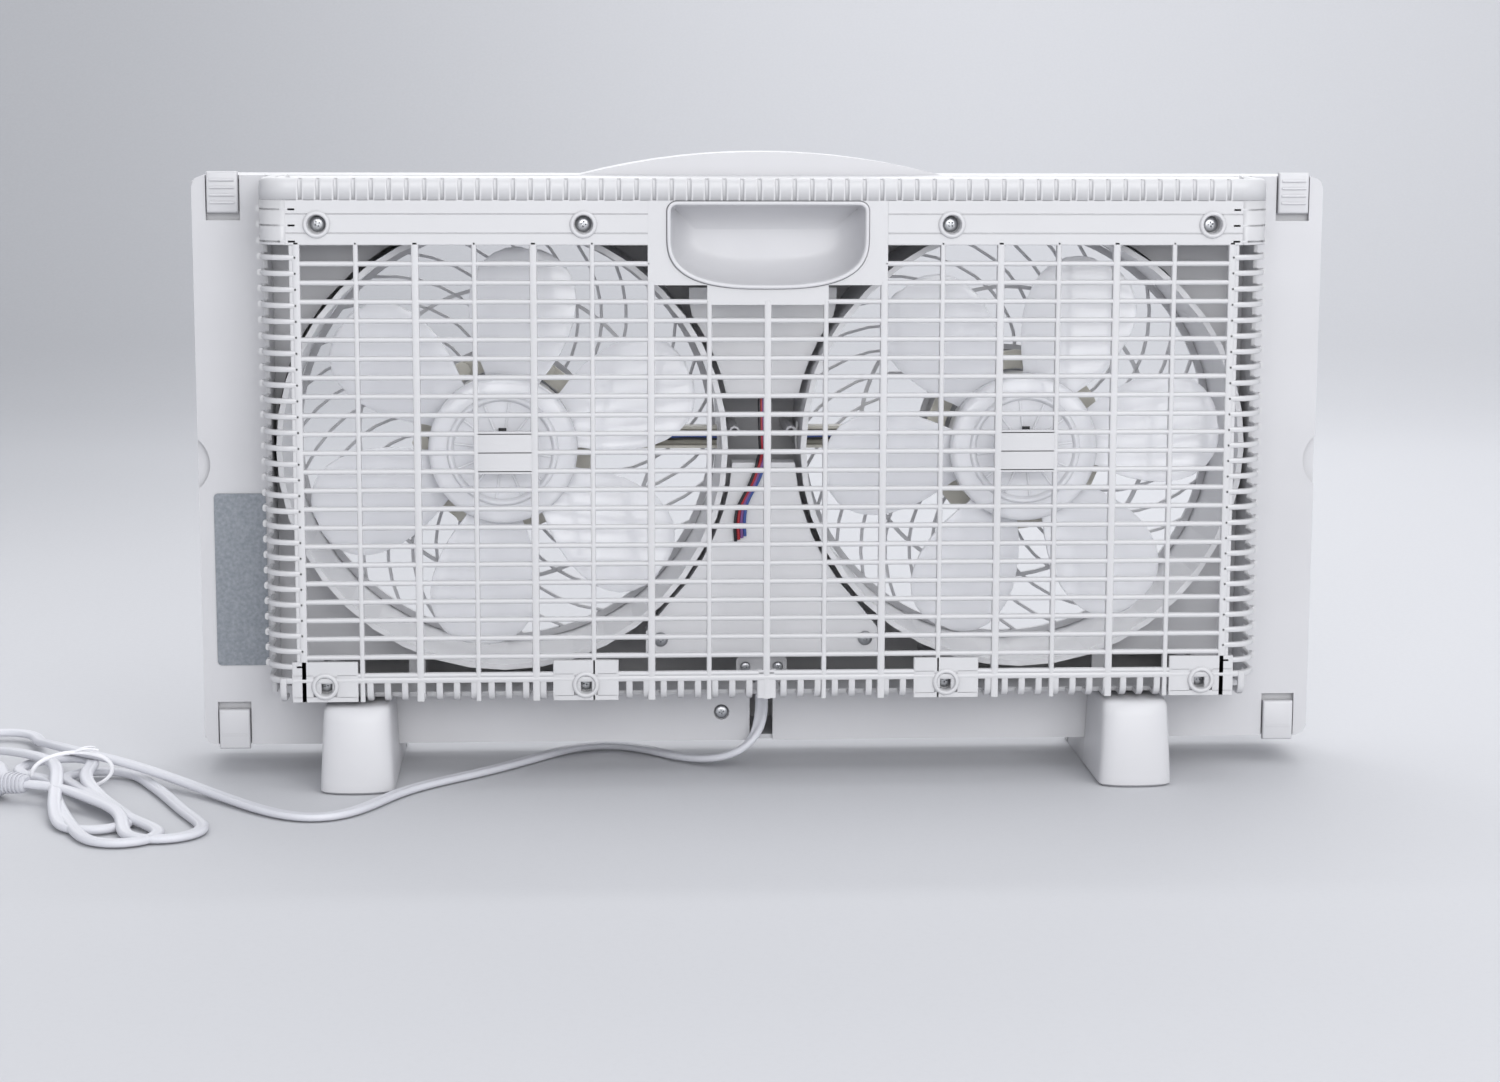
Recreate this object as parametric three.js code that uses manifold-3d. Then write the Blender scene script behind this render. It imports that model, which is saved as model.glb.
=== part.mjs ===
// Twin-propeller reversible window fan with sliding extenders, feet, and a tied mains cord.
// Frame: millimetres, +Z up, floor at z = 0, -Y is the outdoor (guard) side, +Y the room side,
// +X is the right-hand side as seen from outdoors.
import * as THREE from 'three';
import { mergeVertices } from 'three/addons/utils/BufferGeometryUtils.js';
import Module from 'manifold-3d';

const wasm = await Module();
wasm.setup();

// ---- driving dimensions ----
const HALF_WIDTH = 306;
const BASE_Z = 15;
const TOP_Z = 326;
const WALL = 2.6;
const GAP = 0.3;
const CORNER = 6;

const FRONT_Y = 46;
const FRONT_INNER_Y = FRONT_Y - WALL;
const RAIL_Y = -3.7;
const CHANNEL_Y = 3.7;
const COVER_Y = [-7, -4];
const STRIP_TOP = 47.7;

const FAN_X = 140.6;
const FAN_Z = 180.8;
const DUCT_R = 118;
const DUCT_WALL = 3;
const DUCT_BACK_Y = -28;
const DUCT_SIDES = 40;

const GUARD_X = 266.4;
const GUARD_Y = -56;
const GUARD_Z = 48;
const GUARD_CHAMFER = 5;
const BAR_PITCH = 30.8;
const BAR_COLUMNS = 16;
const THICK_BAR = 4;
const THIN_BAR = 2.7;
const RUNG_TOP = 281.5;
const RUNG_PITCH = 9.9545;
const RUNG_ROWS = 23;
const RUNG = 2.8;
const BAND_Z = 291;
const LOUVRE_PITCH = 16.7;
const LOUVRES = 15;
const LOUVRE_SLOT = 13.2;

const CUP_HALF = 53.5;
const CUP_TOP = 314.5;
const CUP_SHOULDER = 296;
const CUP_ROUND = 5.5;
const CUP_POWER = 0.72;
const CUP_BOTTOM = 268;
const CUP_DEPTH_Y = -24;

const TIP_R = 107.7;
const HUB_R = 40;
const HUB_Y = [-34, -12];
const BLADES = 6;
const PHASE = { left: 22, right: 7 };
const SHAFT_R = 2.2;
const MOTOR_R = 37;
const MOTOR_Y = [8, 36];
const LUG_R = 45.5;

const TRAVEL = 36;
const PANEL_Y = 3;
const PANEL_ARC = DUCT_R + DUCT_WALL + 2.5;
const PANEL_INNER_X = 185;
const JAMB_X = HALF_WIDTH + 0.4;

const GUARD_SCREWS = [
  ['a', -235.4, 302], ['b', -96.8, 302], ['c', 96.8, 302], ['d', 235.4, 302],
  ['e', -235.4, 57], ['f', -96.8, 57], ['g', 96.8, 57], ['h', 235.4, 57],
];
const POST_R = 4.6;
const POST_END_Y = -46;
const BOSS_FLOOR_Y = -48.2;
const SHANK_R = 1.7;
const SHANK_HOLE_R = 2.1;

const LOCK_X = [281, 298];
const LOCK_HEIGHT = 22;
const LOCK_STROKE = 3;
const LOCK_PROUD = 2;

const FOOT_X = { left: -219, right: 200 };
const FOOT_HALF = 20;
const FOOT_TOP_HALF = 17.5;
const FOOT_REACH = 66;
const FOOT_TOP = 46;

const KNOB_Z = { speed: 250, mode: 112 };
const KNOB_R = 15;
const CORD_D = 7.2;
const CORD_NOTCH = 6.4;
const TIE_AT = { x: -373, y: -50 };
const HANK = { along: -5, across: 10.75, halfLength: 139, halfWidth: 33.75, height: 22, turn: 65 };

// ---- helpers ----
function solid(geometry) {
  const bare = geometry.clone();
  bare.deleteAttribute('normal');
  bare.deleteAttribute('uv');
  const merged = mergeVertices(bare, 1e-4);
  const p = merged.attributes.position.array;
  const faces = [];
  let volume = 0;
  for (let i = 0; i < merged.index.count; i += 3) {
    const [a, b, c] = [0, 1, 2].map((k) => merged.index.array[i + k]);
    if (a === b || b === c || c === a) continue;
    faces.push([a, b, c]);
    const va = new THREE.Vector3().fromArray(p, a * 3);
    const vb = new THREE.Vector3().fromArray(p, b * 3);
    const vc = new THREE.Vector3().fromArray(p, c * 3);
    volume += va.dot(vb.cross(vc));
  }
  const turned = volume < 0 ? faces.map(([a, b, c]) => [a, c, b]) : faces;
  const triVerts = new Uint32Array(turned.flat());
  return new wasm.Manifold(new wasm.Mesh({ numProp: 3, vertProperties: new Float32Array(p), triVerts }));
}

function join(parts) {
  return parts.reduce((whole, part) => whole.add(part));
}

function box(x, y, z) {
  const g = new THREE.BoxGeometry(Math.abs(x[1] - x[0]), Math.abs(y[1] - y[0]), Math.abs(z[1] - z[0]));
  return solid(g.translate((x[0] + x[1]) / 2, (y[0] + y[1]) / 2, (z[0] + z[1]) / 2));
}

// A closed outline, without the points that repeat their neighbour.
function shapeOf(points) {
  const corners = points.map(([a, b]) => new THREE.Vector2(a, b));
  const apart = (v, i) => v.distanceTo(corners[(i + 1) % corners.length]) > 1e-3;
  return new THREE.Shape(corners.filter(apart));
}

// An outline in X and Z, solid between two Y planes.
function plate(points, y0, y1) {
  const g = new THREE.ExtrudeGeometry(shapeOf(points), { depth: y1 - y0, bevelEnabled: false });
  return solid(g.rotateX(Math.PI / 2).translate(0, y1, 0));
}

// An outline in X and Y, solid between two Z planes.
function slab(points, z0, z1) {
  const g = new THREE.ExtrudeGeometry(shapeOf(points), { depth: z1 - z0, bevelEnabled: false });
  return solid(g.translate(0, 0, z0));
}

// An outline in Y and Z, solid between two X planes.
function rail(points, x0, x1) {
  const g = new THREE.ExtrudeGeometry(shapeOf(points), { depth: x1 - x0, bevelEnabled: false });
  return solid(g.rotateX(Math.PI / 2).rotateZ(Math.PI / 2).translate(x0, 0, 0));
}

// A profile of radius and Y, turned about an axis along Y at x, z.
function turned(profile, sides, x = 0, z = 0) {
  const points = profile.map(([r, y]) => new THREE.Vector2(r, y));
  return solid(new THREE.LatheGeometry(points, sides).translate(x, 0, z));
}

function disc(r, y0, y1, sides, x = 0, z = 0) {
  return turned([[0, y0], [r, y0], [r, y1], [0, y1]], sides, x, z);
}

function tube(inner, outer, y0, y1, sides, x = 0, z = 0) {
  return turned([[inner, y0], [outer, y0], [outer, y1], [inner, y1], [inner, y0]], sides, x, z);
}

function arc(cx, cy, r, from, to, steps) {
  const points = [];
  for (let i = 0; i <= steps; i += 1) {
    const a = THREE.MathUtils.degToRad(from + ((to - from) * i) / steps);
    points.push([cx + r * Math.cos(a), cy + r * Math.sin(a)]);
  }
  return points;
}

function roundedRect(x0, x1, z0, z1, r, steps = 2) {
  return [
    ...arc(x1 - r, z0 + r, r, -90, 0, steps),
    ...arc(x1 - r, z1 - r, r, 0, 90, steps),
    ...arc(x0 + r, z1 - r, r, 90, 180, steps),
    ...arc(x0 + r, z0 + r, r, 180, 270, steps),
  ];
}

function mirrored(points, side) {
  return side < 0 ? points.map(([x, z]) => [-x, z]).reverse() : points;
}

const SIDES = [['left', -1], ['right', 1]];
const group = new THREE.Group();
const materials = {
  white: [0xe9e9ec, 0.45, 0],
  blade: [0xdcdce2, 0.25, 0],
  beige: [0xd8d5c8, 0.5, 0],
  black: [0x222224, 0.6, 0],
  steel: [0xb9bbc0, 0.35, 1],
  brass: [0xc9a75a, 0.35, 1],
  label: [0x8a8f9a, 0.5, 0.3],
  cord: [0xdedee4, 0.55, 0],
  lens: [0xcc3311, 0.2, 0],
  wire: [0x9a3a52, 0.6, 0],
};

function put(name, manifold, slot) {
  const mesh = manifold.getMesh();
  const g = new THREE.BufferGeometry();
  g.setAttribute('position', new THREE.BufferAttribute(new Float32Array(mesh.vertProperties), 3));
  g.setIndex(new THREE.BufferAttribute(new Uint32Array(mesh.triVerts), 1));
  g.computeVertexNormals();
  const [color, roughness, metalness] = materials[slot];
  const node = new THREE.Mesh(g, new THREE.MeshStandardMaterial({ color, roughness, metalness }));
  node.name = name;
  group.add(node);
}

// ---- front housing: shell, ducts, posts and handle ----
const HANDLE_HALF = 99;
const HANDLE_RISE = 12.5;

function handleArch(inset, y0, y1) {
  const half = HANDLE_HALF - inset;
  const rise = HANDLE_RISE - inset;
  const r = (half * half + rise * rise) / (2 * rise);
  const reach = THREE.MathUtils.radToDeg(Math.asin(half / r));
  const base = inset > 0 ? TOP_Z - WALL - 1 : TOP_Z - 1;
  const crown = arc(0, TOP_Z + rise - r, r, 90 - reach, 90 + reach, 14);
  return plate([...crown, [-half, base], [half, base]], y0, y1);
}

const SMALL_POSTS = [
  [-15.4, 188, 3, -12], [15.4, 188, 3, -12],
  [-9, 57, 2.6, -5], [9, 57, 2.6, -5],
  [-56, 75, 3.2, -7.7], [56, 75, 3.2, -7.7],
  [-22, 31, 3.2, RAIL_Y], [FOOT_X.right, 31, 3.2, RAIL_Y],
];

function frontHousing() {
  const outer = roundedRect(-HALF_WIDTH, HALF_WIDTH, BASE_Z, TOP_Z, CORNER);
  const inner = roundedRect(
    -HALF_WIDTH + WALL, HALF_WIDTH - WALL, BASE_Z + WALL, TOP_Z - WALL, CORNER - WALL);
  let body = plate(outer, RAIL_Y, FRONT_Y).subtract(plate(inner, RAIL_Y - 1, FRONT_INNER_Y));
  body = body.add(handleArch(0, 8, 42));
  body = body.subtract(handleArch(WALL, 8 + WALL, 42 - WALL));
  for (const [, side] of SIDES) {
    const wallX = [side * (HALF_WIDTH - WALL - 4), side * (HALF_WIDTH + 1)];
    body = body.subtract(box(wallX, [RAIL_Y - 1, CHANNEL_Y], [BASE_Z + WALL, TOP_Z - WALL]));
    const x = side * FAN_X;
    body = body.subtract(disc(DUCT_R, FRONT_INNER_Y - 1, FRONT_Y + 1, DUCT_SIDES, x, FAN_Z));
  }
  for (const [, x, z] of GUARD_SCREWS) {
    body = body.add(disc(POST_R, POST_END_Y, FRONT_Y - 1, 8, x, z));
    body = body.subtract(disc(SHANK_HOLE_R, POST_END_Y - 1, -33, 8, x, z));
  }
  for (const [x, z, r, y] of SMALL_POSTS) {
    body = body.add(disc(r, y, FRONT_Y - 1, 8, x, z));
    body = body.subtract(disc(r - 1.3, y - 1, y + 12, 8, x, z));
  }
  for (const z of Object.values(KNOB_Z)) {
    body = body.subtract(disc(4, FRONT_INNER_Y - 1, FRONT_Y + 1, 12, 0, z));
  }
  return body;
}

put('front_housing', frontHousing(), 'white');

function duct(side) {
  const x = side * FAN_X;
  const ring = tube(DUCT_R, DUCT_R + DUCT_WALL, DUCT_BACK_Y, FRONT_INNER_Y - GAP, DUCT_SIDES, x, FAN_Z);
  const leadX = [side * (FAN_X - DUCT_R - DUCT_WALL - 1), side * (FAN_X - DUCT_R + 1)];
  return ring.subtract(box(leadX, [3, 17], [FAN_Z - 6, FAN_Z + 10]));
}

for (const [name, side] of SIDES) {
  put(`duct_${name}`, duct(side), 'white');
}

// ---- outdoor guard ----
// A flat-topped outline with small upper corners and a full, rounded bowl below.
function cupOutline(grow) {
  const half = CUP_HALF + grow;
  const sag = CUP_SHOULDER - CUP_BOTTOM + grow;
  const steps = 16;
  const bowl = [];
  for (let i = 0; i <= steps; i += 1) {
    const a = Math.PI * (1 + i / steps);
    const x = Math.sign(Math.cos(a)) * half * Math.abs(Math.cos(a)) ** CUP_POWER;
    bowl.push([x, CUP_SHOULDER - sag * Math.abs(Math.sin(a)) ** CUP_POWER]);
  }
  const centreZ = CUP_TOP - CUP_ROUND;
  return [
    ...bowl,
    ...arc(CUP_HALF - CUP_ROUND, centreZ, CUP_ROUND + grow, 0, 90, 3),
    ...arc(CUP_ROUND - CUP_HALF, centreZ, CUP_ROUND + grow, 90, 180, 3),
  ];
}

function guardPlan(inset, back) {
  const x = GUARD_X - inset;
  const y = GUARD_Y + inset;
  const c = GUARD_CHAMFER - inset * 0.6;
  return [[-x, back], [-x, y + c], [-x + c, y], [x - c, y], [x, y + c], [x, back]];
}

function isSolidCell(column, row) {
  const fromCentre = Math.abs(column + 0.5 - BAR_COLUMNS / 2);
  const underCup = (row < 2 && fromCentre < 2) || (row === 2 && fromCentre < 1);
  const hubPad = (column === 3 || column === 12) && (row === 10 || row === 11);
  return underCup || hubPad;
}

function guardCells() {
  const cells = [];
  for (let column = 0; column < BAR_COLUMNS; column += 1) {
    const left = (column - BAR_COLUMNS / 2) * BAR_PITCH;
    const thickLeft = column % 2 === 0 ? THICK_BAR : THIN_BAR;
    const thickRight = column % 2 === 0 ? THIN_BAR : THICK_BAR;
    for (let row = 0; row < RUNG_ROWS; row += 1) {
      if (isSolidCell(column, row)) continue;
      const top = row === 0 ? BAND_Z : RUNG_TOP - (row - 1) * RUNG_PITCH - RUNG / 2;
      const bottom = RUNG_TOP - row * RUNG_PITCH + RUNG / 2;
      const x = [left + thickLeft / 2, left + BAR_PITCH - thickRight / 2];
      cells.push(box(x, [GUARD_Y - 5, GUARD_Y + WALL + 3], [bottom, top]));
    }
  }
  return cells;
}

function guardLouvres() {
  const slots = [];
  for (const [, side] of SIDES) {
    for (let i = 0; i < LOUVRES; i += 1) {
      const z = 311 - i * LOUVRE_PITCH;
      const x = [side * 250.5, side * 260];
      slots.push(box(x, [GUARD_Y - 5, GUARD_Y + WALL + 3], [z - LOUVRE_SLOT, z]));
    }
  }
  return slots;
}

function rearGuard() {
  let body = slab(guardPlan(0, -4), GUARD_Z, TOP_Z);
  body = body.subtract(slab(guardPlan(WALL, -3), GUARD_Z + WALL, TOP_Z - WALL));
  body = body.subtract(wasm.Manifold.union(guardCells()));
  body = body.subtract(wasm.Manifold.union(guardLouvres()));
  body = body.subtract(plate(cupOutline(0), GUARD_Y - 2, GUARD_Y + 6));
  for (const [, x, z] of GUARD_SCREWS) {
    if (z < FAN_Z) {
      body = body.add(box([x - 17.5, x + 17.5], [GUARD_Y, GUARD_Y + WALL], [GUARD_Z + 0.5, 70]));
    }
    body = body.add(disc(7, GUARD_Y - 1.4, POST_END_Y - GAP, 12, x, z));
    body = body.subtract(disc(4.7, GUARD_Y - 3, BOSS_FLOOR_Y, 12, x, z));
    body = body.subtract(disc(SHANK_HOLE_R, GUARD_Y, POST_END_Y + 1, 8, x, z));
  }
  return body.subtract(box([-8, 8], [-22, -3], [GUARD_Z - 1, GUARD_Z + WALL + 1]));
}

put('rear_guard', rearGuard(), 'white');
const cup = plate(cupOutline(-GAP), GUARD_Y - 1, CUP_DEPTH_Y);
const bowl = plate(cupOutline(-GAP - 2.2), GUARD_Y - 2, CUP_DEPTH_Y - 2.5);
put('handle_cup', cup.subtract(bowl), 'white');

// ---- flange halves ----
function coverOutline() {
  const x = HALF_WIDTH;
  return [
    [CORD_NOTCH, BASE_Z],
    ...arc(x - CORNER, BASE_Z + CORNER, CORNER, -90, 0, 2),
    ...arc(x - CORNER, TOP_Z - CORNER, CORNER, 0, 90, 2),
    [GUARD_X + GAP, TOP_Z], [GUARD_X + GAP, STRIP_TOP], [CORD_NOTCH, STRIP_TOP],
  ];
}

const NOTCH_Z = 170.5;
const NOTCH_R = 17.27;
const NOTCH_DEPTH = 6.5;
const RECESS = [LOCK_X[0] - 0.6, LOCK_X[1] + 0.6];
const RECESS_DEPTH = LOCK_HEIGHT - LOCK_PROUD + LOCK_STROKE + 1;

function coverHalf(side) {
  const [y0, y1] = COVER_Y;
  let body = plate(mirrored(coverOutline(), side), y0, y1);
  const x = RECESS.map((v) => side * v);
  body = body.subtract(box(x, [y0 - 1, y1 + 1], [TOP_Z - RECESS_DEPTH, TOP_Z + 1]));
  body = body.subtract(box(x, [y0 - 1, y1 + 1], [BASE_Z - 1, BASE_Z + RECESS_DEPTH]));
  const notchX = side * (HALF_WIDTH - NOTCH_DEPTH + NOTCH_R);
  body = body.subtract(disc(NOTCH_R, y0 - 1, y1 + 1, 32, notchX, NOTCH_Z));
  const screwX = side < 0 ? -22 : FOOT_X.right;
  body = body.subtract(disc(4.4, y0 - 1, y0 + 2.2, 12, screwX, 31));
  return body.subtract(disc(SHANK_HOLE_R, y0 - 1, y1 + 1, 8, screwX, 31));
}

for (const [name, side] of SIDES) {
  put(`rear_cover_${name}`, coverHalf(side), 'white');
}

// ---- extenders and their locks ----
function extender(side) {
  const z0 = BASE_Z + WALL + 0.6;
  const z1 = TOP_Z - WALL - 0.6;
  const reach = THREE.MathUtils.radToDeg(Math.acos((PANEL_INNER_X - FAN_X) / PANEL_ARC));
  const outline = [
    [PANEL_INNER_X, z0], [JAMB_X, z0], [JAMB_X, z1], [PANEL_INNER_X, z1],
    ...arc(FAN_X, FAN_Z, PANEL_ARC, reach, -reach, 14),
  ];
  let body = plate(mirrored(outline, side), -PANEL_Y, PANEL_Y);
  for (const [, x, z] of GUARD_SCREWS) {
    if (x * side < PANEL_INNER_X) continue;
    const slotX = [x - side * (TRAVEL + POST_R + 0.7), x + side * (POST_R + 0.7)];
    body = body.subtract(box(slotX, [-5, 5], [z - POST_R - 0.7, z + POST_R + 0.7]));
  }
  if (side > 0) {
    const slot = [FOOT_X.right - TRAVEL, FOOT_X.right + 4.2];
    body = body.subtract(box(slot, [-5, 5], [31 - 4, 31 + 4]));
  }
  return body;
}

function lock(side, top) {
  const x = LOCK_X.map((v) => side * v);
  const z1 = top ? TOP_Z + LOCK_PROUD : BASE_Z - LOCK_PROUD;
  const z0 = top ? z1 - LOCK_HEIGHT : z1 + LOCK_HEIGHT;
  let body = box(x, [-9.4, COVER_Y[1]], [z0, z1]);
  if (top) {
    for (let i = 0; i < 4; i += 1) {
      const rib = z0 + 5 + i * 4;
      body = body.add(box([side * (LOCK_X[0] + 2), side * (LOCK_X[1] - 2)], [-10.2, -9], [rib, rib + 1.4]));
    }
  }
  return body;
}

for (const [name, side] of SIDES) {
  put(`extender_${name}`, extender(side), 'white');
  put(`lock_top_${name}`, lock(side, true), 'white');
  put(`lock_bottom_${name}`, lock(side, false), 'white');
}

// ---- feet ----
function foot(x) {
  const side = [
    [-FOOT_REACH, 0], [FOOT_REACH, 0], [FOOT_REACH - 3, 30], [FRONT_Y + 0.6, 32],
    [FRONT_Y + 0.6, BASE_Z - GAP], [COVER_Y[0] - 0.6, BASE_Z - GAP], [COVER_Y[0] - 0.6, FOOT_TOP],
    [-FOOT_REACH + 8, FOOT_TOP],
  ];
  const wide = shapeSweep();
  const flare = plate([
    [-FOOT_HALF, -1], [FOOT_HALF, -1], [FOOT_TOP_HALF, FOOT_TOP + 1], [-FOOT_TOP_HALF, FOOT_TOP + 1],
  ], -FOOT_REACH - 5, FOOT_REACH + 5);
  const body = rail(side, -FOOT_HALF, FOOT_HALF).intersect(wide).intersect(flare);
  return body.translate([x, 0, 0]);
}

// The foot seen from above: straight sides and gently rounded ends.
function shapeSweep() {
  const bulge = 9;
  const r = (FOOT_HALF * FOOT_HALF + bulge * bulge) / (2 * bulge);
  const reach = THREE.MathUtils.radToDeg(Math.asin(FOOT_HALF / r));
  return slab([
    ...arc(0, -FOOT_REACH + r, r, 270 - reach, 270 + reach, 6),
    ...arc(0, FOOT_REACH - r, r, 90 - reach, 90 + reach, 6),
  ], -1, FOOT_TOP + 1);
}

for (const [name, x] of Object.entries(FOOT_X)) {
  put(`foot_${name}`, foot(x), 'white');
}

// ---- motors, mounting plates, propellers ----
function propeller(phase) {
  const [y0, y1] = HUB_Y;
  let body = turned([
    [0, y0], [HUB_R - 3, y0], [HUB_R, y0 + 3], [HUB_R, y1], [HUB_R - 2.5, y1],
    [HUB_R - 2.5, y0 + 3], [6, y0 + 3], [6, y1 + 4], [0, y1 + 4],
  ], 24);
  body = body.add(tube(27, 29.5, y0 - 2, y0 + 1, 20));
  for (let i = 0; i < BLADES; i += 1) {
    body = body.add(petal(phase + (i * 360) / BLADES));
  }
  return body.subtract(disc(SHAFT_R + GAP, y0 - 3, y1 + 6, 8));
}

const PETAL = [[38.3, 17], [52, 24], [68, 29], [82, 31], [94, 29], [102.5, 22], [TIP_R, 11]];
const PETAL_COLUMNS = 3;
const PETAL_THICK = 2;

function petal(degrees) {
  const rows = PETAL.length;
  const columns = PETAL_COLUMNS + 1;
  const points = [];
  for (const lift of [-PETAL_THICK / 2, PETAL_THICK / 2]) {
    for (const [r, half] of PETAL) {
      const pitch = THREE.MathUtils.degToRad(30 - 14 * ((r - HUB_R) / (TIP_R - HUB_R)));
      for (let c = 0; c < columns; c += 1) {
        const across = half * ((2 * c) / PETAL_COLUMNS - 1);
        const angle = THREE.MathUtils.degToRad(degrees) + (across * Math.cos(pitch)) / r;
        const y = -22 + across * Math.sin(pitch) * 0.62 + lift;
        points.push(r * Math.cos(angle), y, r * Math.sin(angle));
      }
    }
  }
  const at = (layer, row, column) => (layer * rows + row) * columns + column;
  const faces = [];
  const quad = (a, b, c, d) => faces.push(a, b, c, a, c, d);
  for (let row = 0; row + 1 < rows; row += 1) {
    for (let c = 0; c + 1 < columns; c += 1) {
      quad(at(0, row, c), at(0, row + 1, c), at(0, row + 1, c + 1), at(0, row, c + 1));
      quad(at(1, row, c), at(1, row, c + 1), at(1, row + 1, c + 1), at(1, row + 1, c));
    }
    quad(at(0, row, 0), at(1, row, 0), at(1, row + 1, 0), at(0, row + 1, 0));
    const last = columns - 1;
    quad(at(0, row, last), at(0, row + 1, last), at(1, row + 1, last), at(1, row, last));
  }
  for (let c = 0; c + 1 < columns; c += 1) {
    quad(at(0, 0, c), at(0, 0, c + 1), at(1, 0, c + 1), at(1, 0, c));
    quad(at(0, rows - 1, c), at(1, rows - 1, c), at(1, rows - 1, c + 1), at(0, rows - 1, c + 1));
  }
  const g = new THREE.BufferGeometry();
  g.setAttribute('position', new THREE.Float32BufferAttribute(points, 3));
  g.setIndex(faces);
  return solid(g);
}

function motor() {
  const [y0, y1] = MOTOR_Y;
  const body = turned([[0, y0], [MOTOR_R - 3, y0], [MOTOR_R, y0 + 3], [MOTOR_R, y1], [0, y1]], 20);
  return body.subtract(disc(SHAFT_R + GAP, y0 - 1, y0 + 9, 8));
}

function motorPlate(side) {
  let body = tube(40, 50, 4, 7, 24);
  for (let i = 0; i < BLADES; i += 1) {
    const a = THREE.MathUtils.degToRad((i * 360) / BLADES);
    body = body.add(disc(4.8, 0.5, 5, 8, LUG_R * Math.cos(a), LUG_R * Math.sin(a)));
  }
  const [near, far] = [48.5, FAN_X - 24];
  body = body.add(box([-side * near, -side * far], [5, 15], [-4, 8]));
  return body.subtract(box([-side * (near + 2), -side * (far + 1)], [4, 13.4], [-2.5, 6.5]));
}

function hubClip() {
  const body = disc(5.5, -38.3, -36.5, 8).add(box([-2, 2], [-38.3, -36.5], [-12.5, 12.5]));
  return body.subtract(disc(SHAFT_R + GAP, -40, -35, 8));
}

for (const [name, side] of SIDES) {
  const at = [side * FAN_X, 0, FAN_Z];
  put(`motor_${name}`, motor().translate(at), 'steel');
  put(`motor_plate_${name}`, motorPlate(side).translate(at), 'beige');
  put(`fan_${name}`, propeller(PHASE[name]).translate(at), 'blade');
  put(`shaft_${name}`, disc(SHAFT_R, -40, MOTOR_Y[0] + 8, 10).translate(at), 'steel');
  put(`clip_${name}`, hubClip().translate(at), 'black');
}

// ---- room-side grilles ----
const VANES = 16;
const VANE_R = [49, 115];
const VANE_SWEEP = 34;
const VANE_STEPS = 2;

function vane(degrees) {
  const inner = [];
  const outer = [];
  for (let i = 0; i <= VANE_STEPS; i += 1) {
    const r = THREE.MathUtils.lerp(...VANE_R, i / VANE_STEPS);
    const a = THREE.MathUtils.degToRad(degrees + VANE_SWEEP * (i / VANE_STEPS) ** 1.4);
    const half = 1.2 / r;
    inner.push([r * Math.cos(a - half), r * Math.sin(a - half)]);
    outer.unshift([r * Math.cos(a + half), r * Math.sin(a + half)]);
  }
  return plate([...inner, ...outer], FRONT_INNER_Y - 1, FRONT_Y - 0.6);
}

function frontGrille() {
  let body = disc(50, FRONT_INNER_Y - 2, FRONT_Y + 2, 24);
  body = body.subtract(disc(46, FRONT_INNER_Y - 3, FRONT_Y - 1, 24));
  body = body.add(tube(113.5, DUCT_R - 0.6, FRONT_INNER_Y - 2, FRONT_Y, 40));
  body = body.add(tube(81, 83.4, FRONT_INNER_Y - 1, FRONT_Y - 0.6, 24));
  for (let i = 0; i < VANES; i += 1) {
    body = body.add(vane((i * 360) / VANES));
  }
  return body;
}

for (const [name, side] of SIDES) {
  put(`front_grille_${name}`, frontGrille().translate([side * FAN_X, 0, FAN_Z]), 'white');
}

// ---- centre: control cover, wiring, clamp ----
function waist(clearance, widest, z0, z1) {
  const rightSide = [];
  const steps = 8;
  for (let i = 0; i <= steps; i += 1) {
    const z = z0 + ((z1 - z0) * i) / steps;
    const x = FAN_X - Math.sqrt((DUCT_R + clearance) ** 2 - (z - FAN_Z) ** 2);
    rightSide.push([Math.min(widest, x), z]);
  }
  return [...rightSide, ...rightSide.map(([x, z]) => [-x, z]).reverse()];
}

const COVER_TOP = 172;
let controlCover = plate(waist(6, 64, 66, COVER_TOP), -22, -8);
controlCover = controlCover.subtract(plate(waist(8, 62, 68, COVER_TOP - 2), -20, -7));
for (const x of [-56, 56]) {
  controlCover = controlCover.add(disc(4.5, -21, -8, 10, x, 75));
  controlCover = controlCover.subtract(disc(SHANK_HOLE_R, -24, -7, 8, x, 75));
}
put('control_cover', controlCover, 'white');
put('switch_shield', plate(waist(6, 40, 206, 266), -10, -8), 'white');

put('wire_ribbon', plate([
  [-4, 186], [4, 186], [4, 178], [0, 160], [-9, 150], [-9, 130], [-16, 130], [-16, 152], [-8, 164], [-4, 178],
], -6, -4.2), 'wire');
for (const [name, side] of SIDES) {
  const lead = [[24, 180.5], [86, 180.5], [86, 184.5], [24, 184.5]];
  put(`motor_lead_${name}`, plate(mirrored(lead, side), 8, 11), 'wire');
}

let clamp = plate(roundedRect(-14, 14, 51.5, 62.5, 2), -9, -5.3);
for (const x of [-9, 9]) {
  clamp = clamp.subtract(disc(1.7, -10, -3, 8, x, 57));
}
put('cord_clamp', clamp, 'white');
put('rating_label', plate(roundedRect(-298, -270, 59.5, 154.4, 2), -7.6, -7.3), 'label');

// ---- screws ----
function screw(headR, shankR, headY, length, x, z) {
  return turned([
    [0, headY], [headR, headY + 0.6], [headR, headY + 1.8],
    [shankR, headY + 1.8], [shankR, headY + length], [0, headY + length],
  ], 8, x, z);
}

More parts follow.
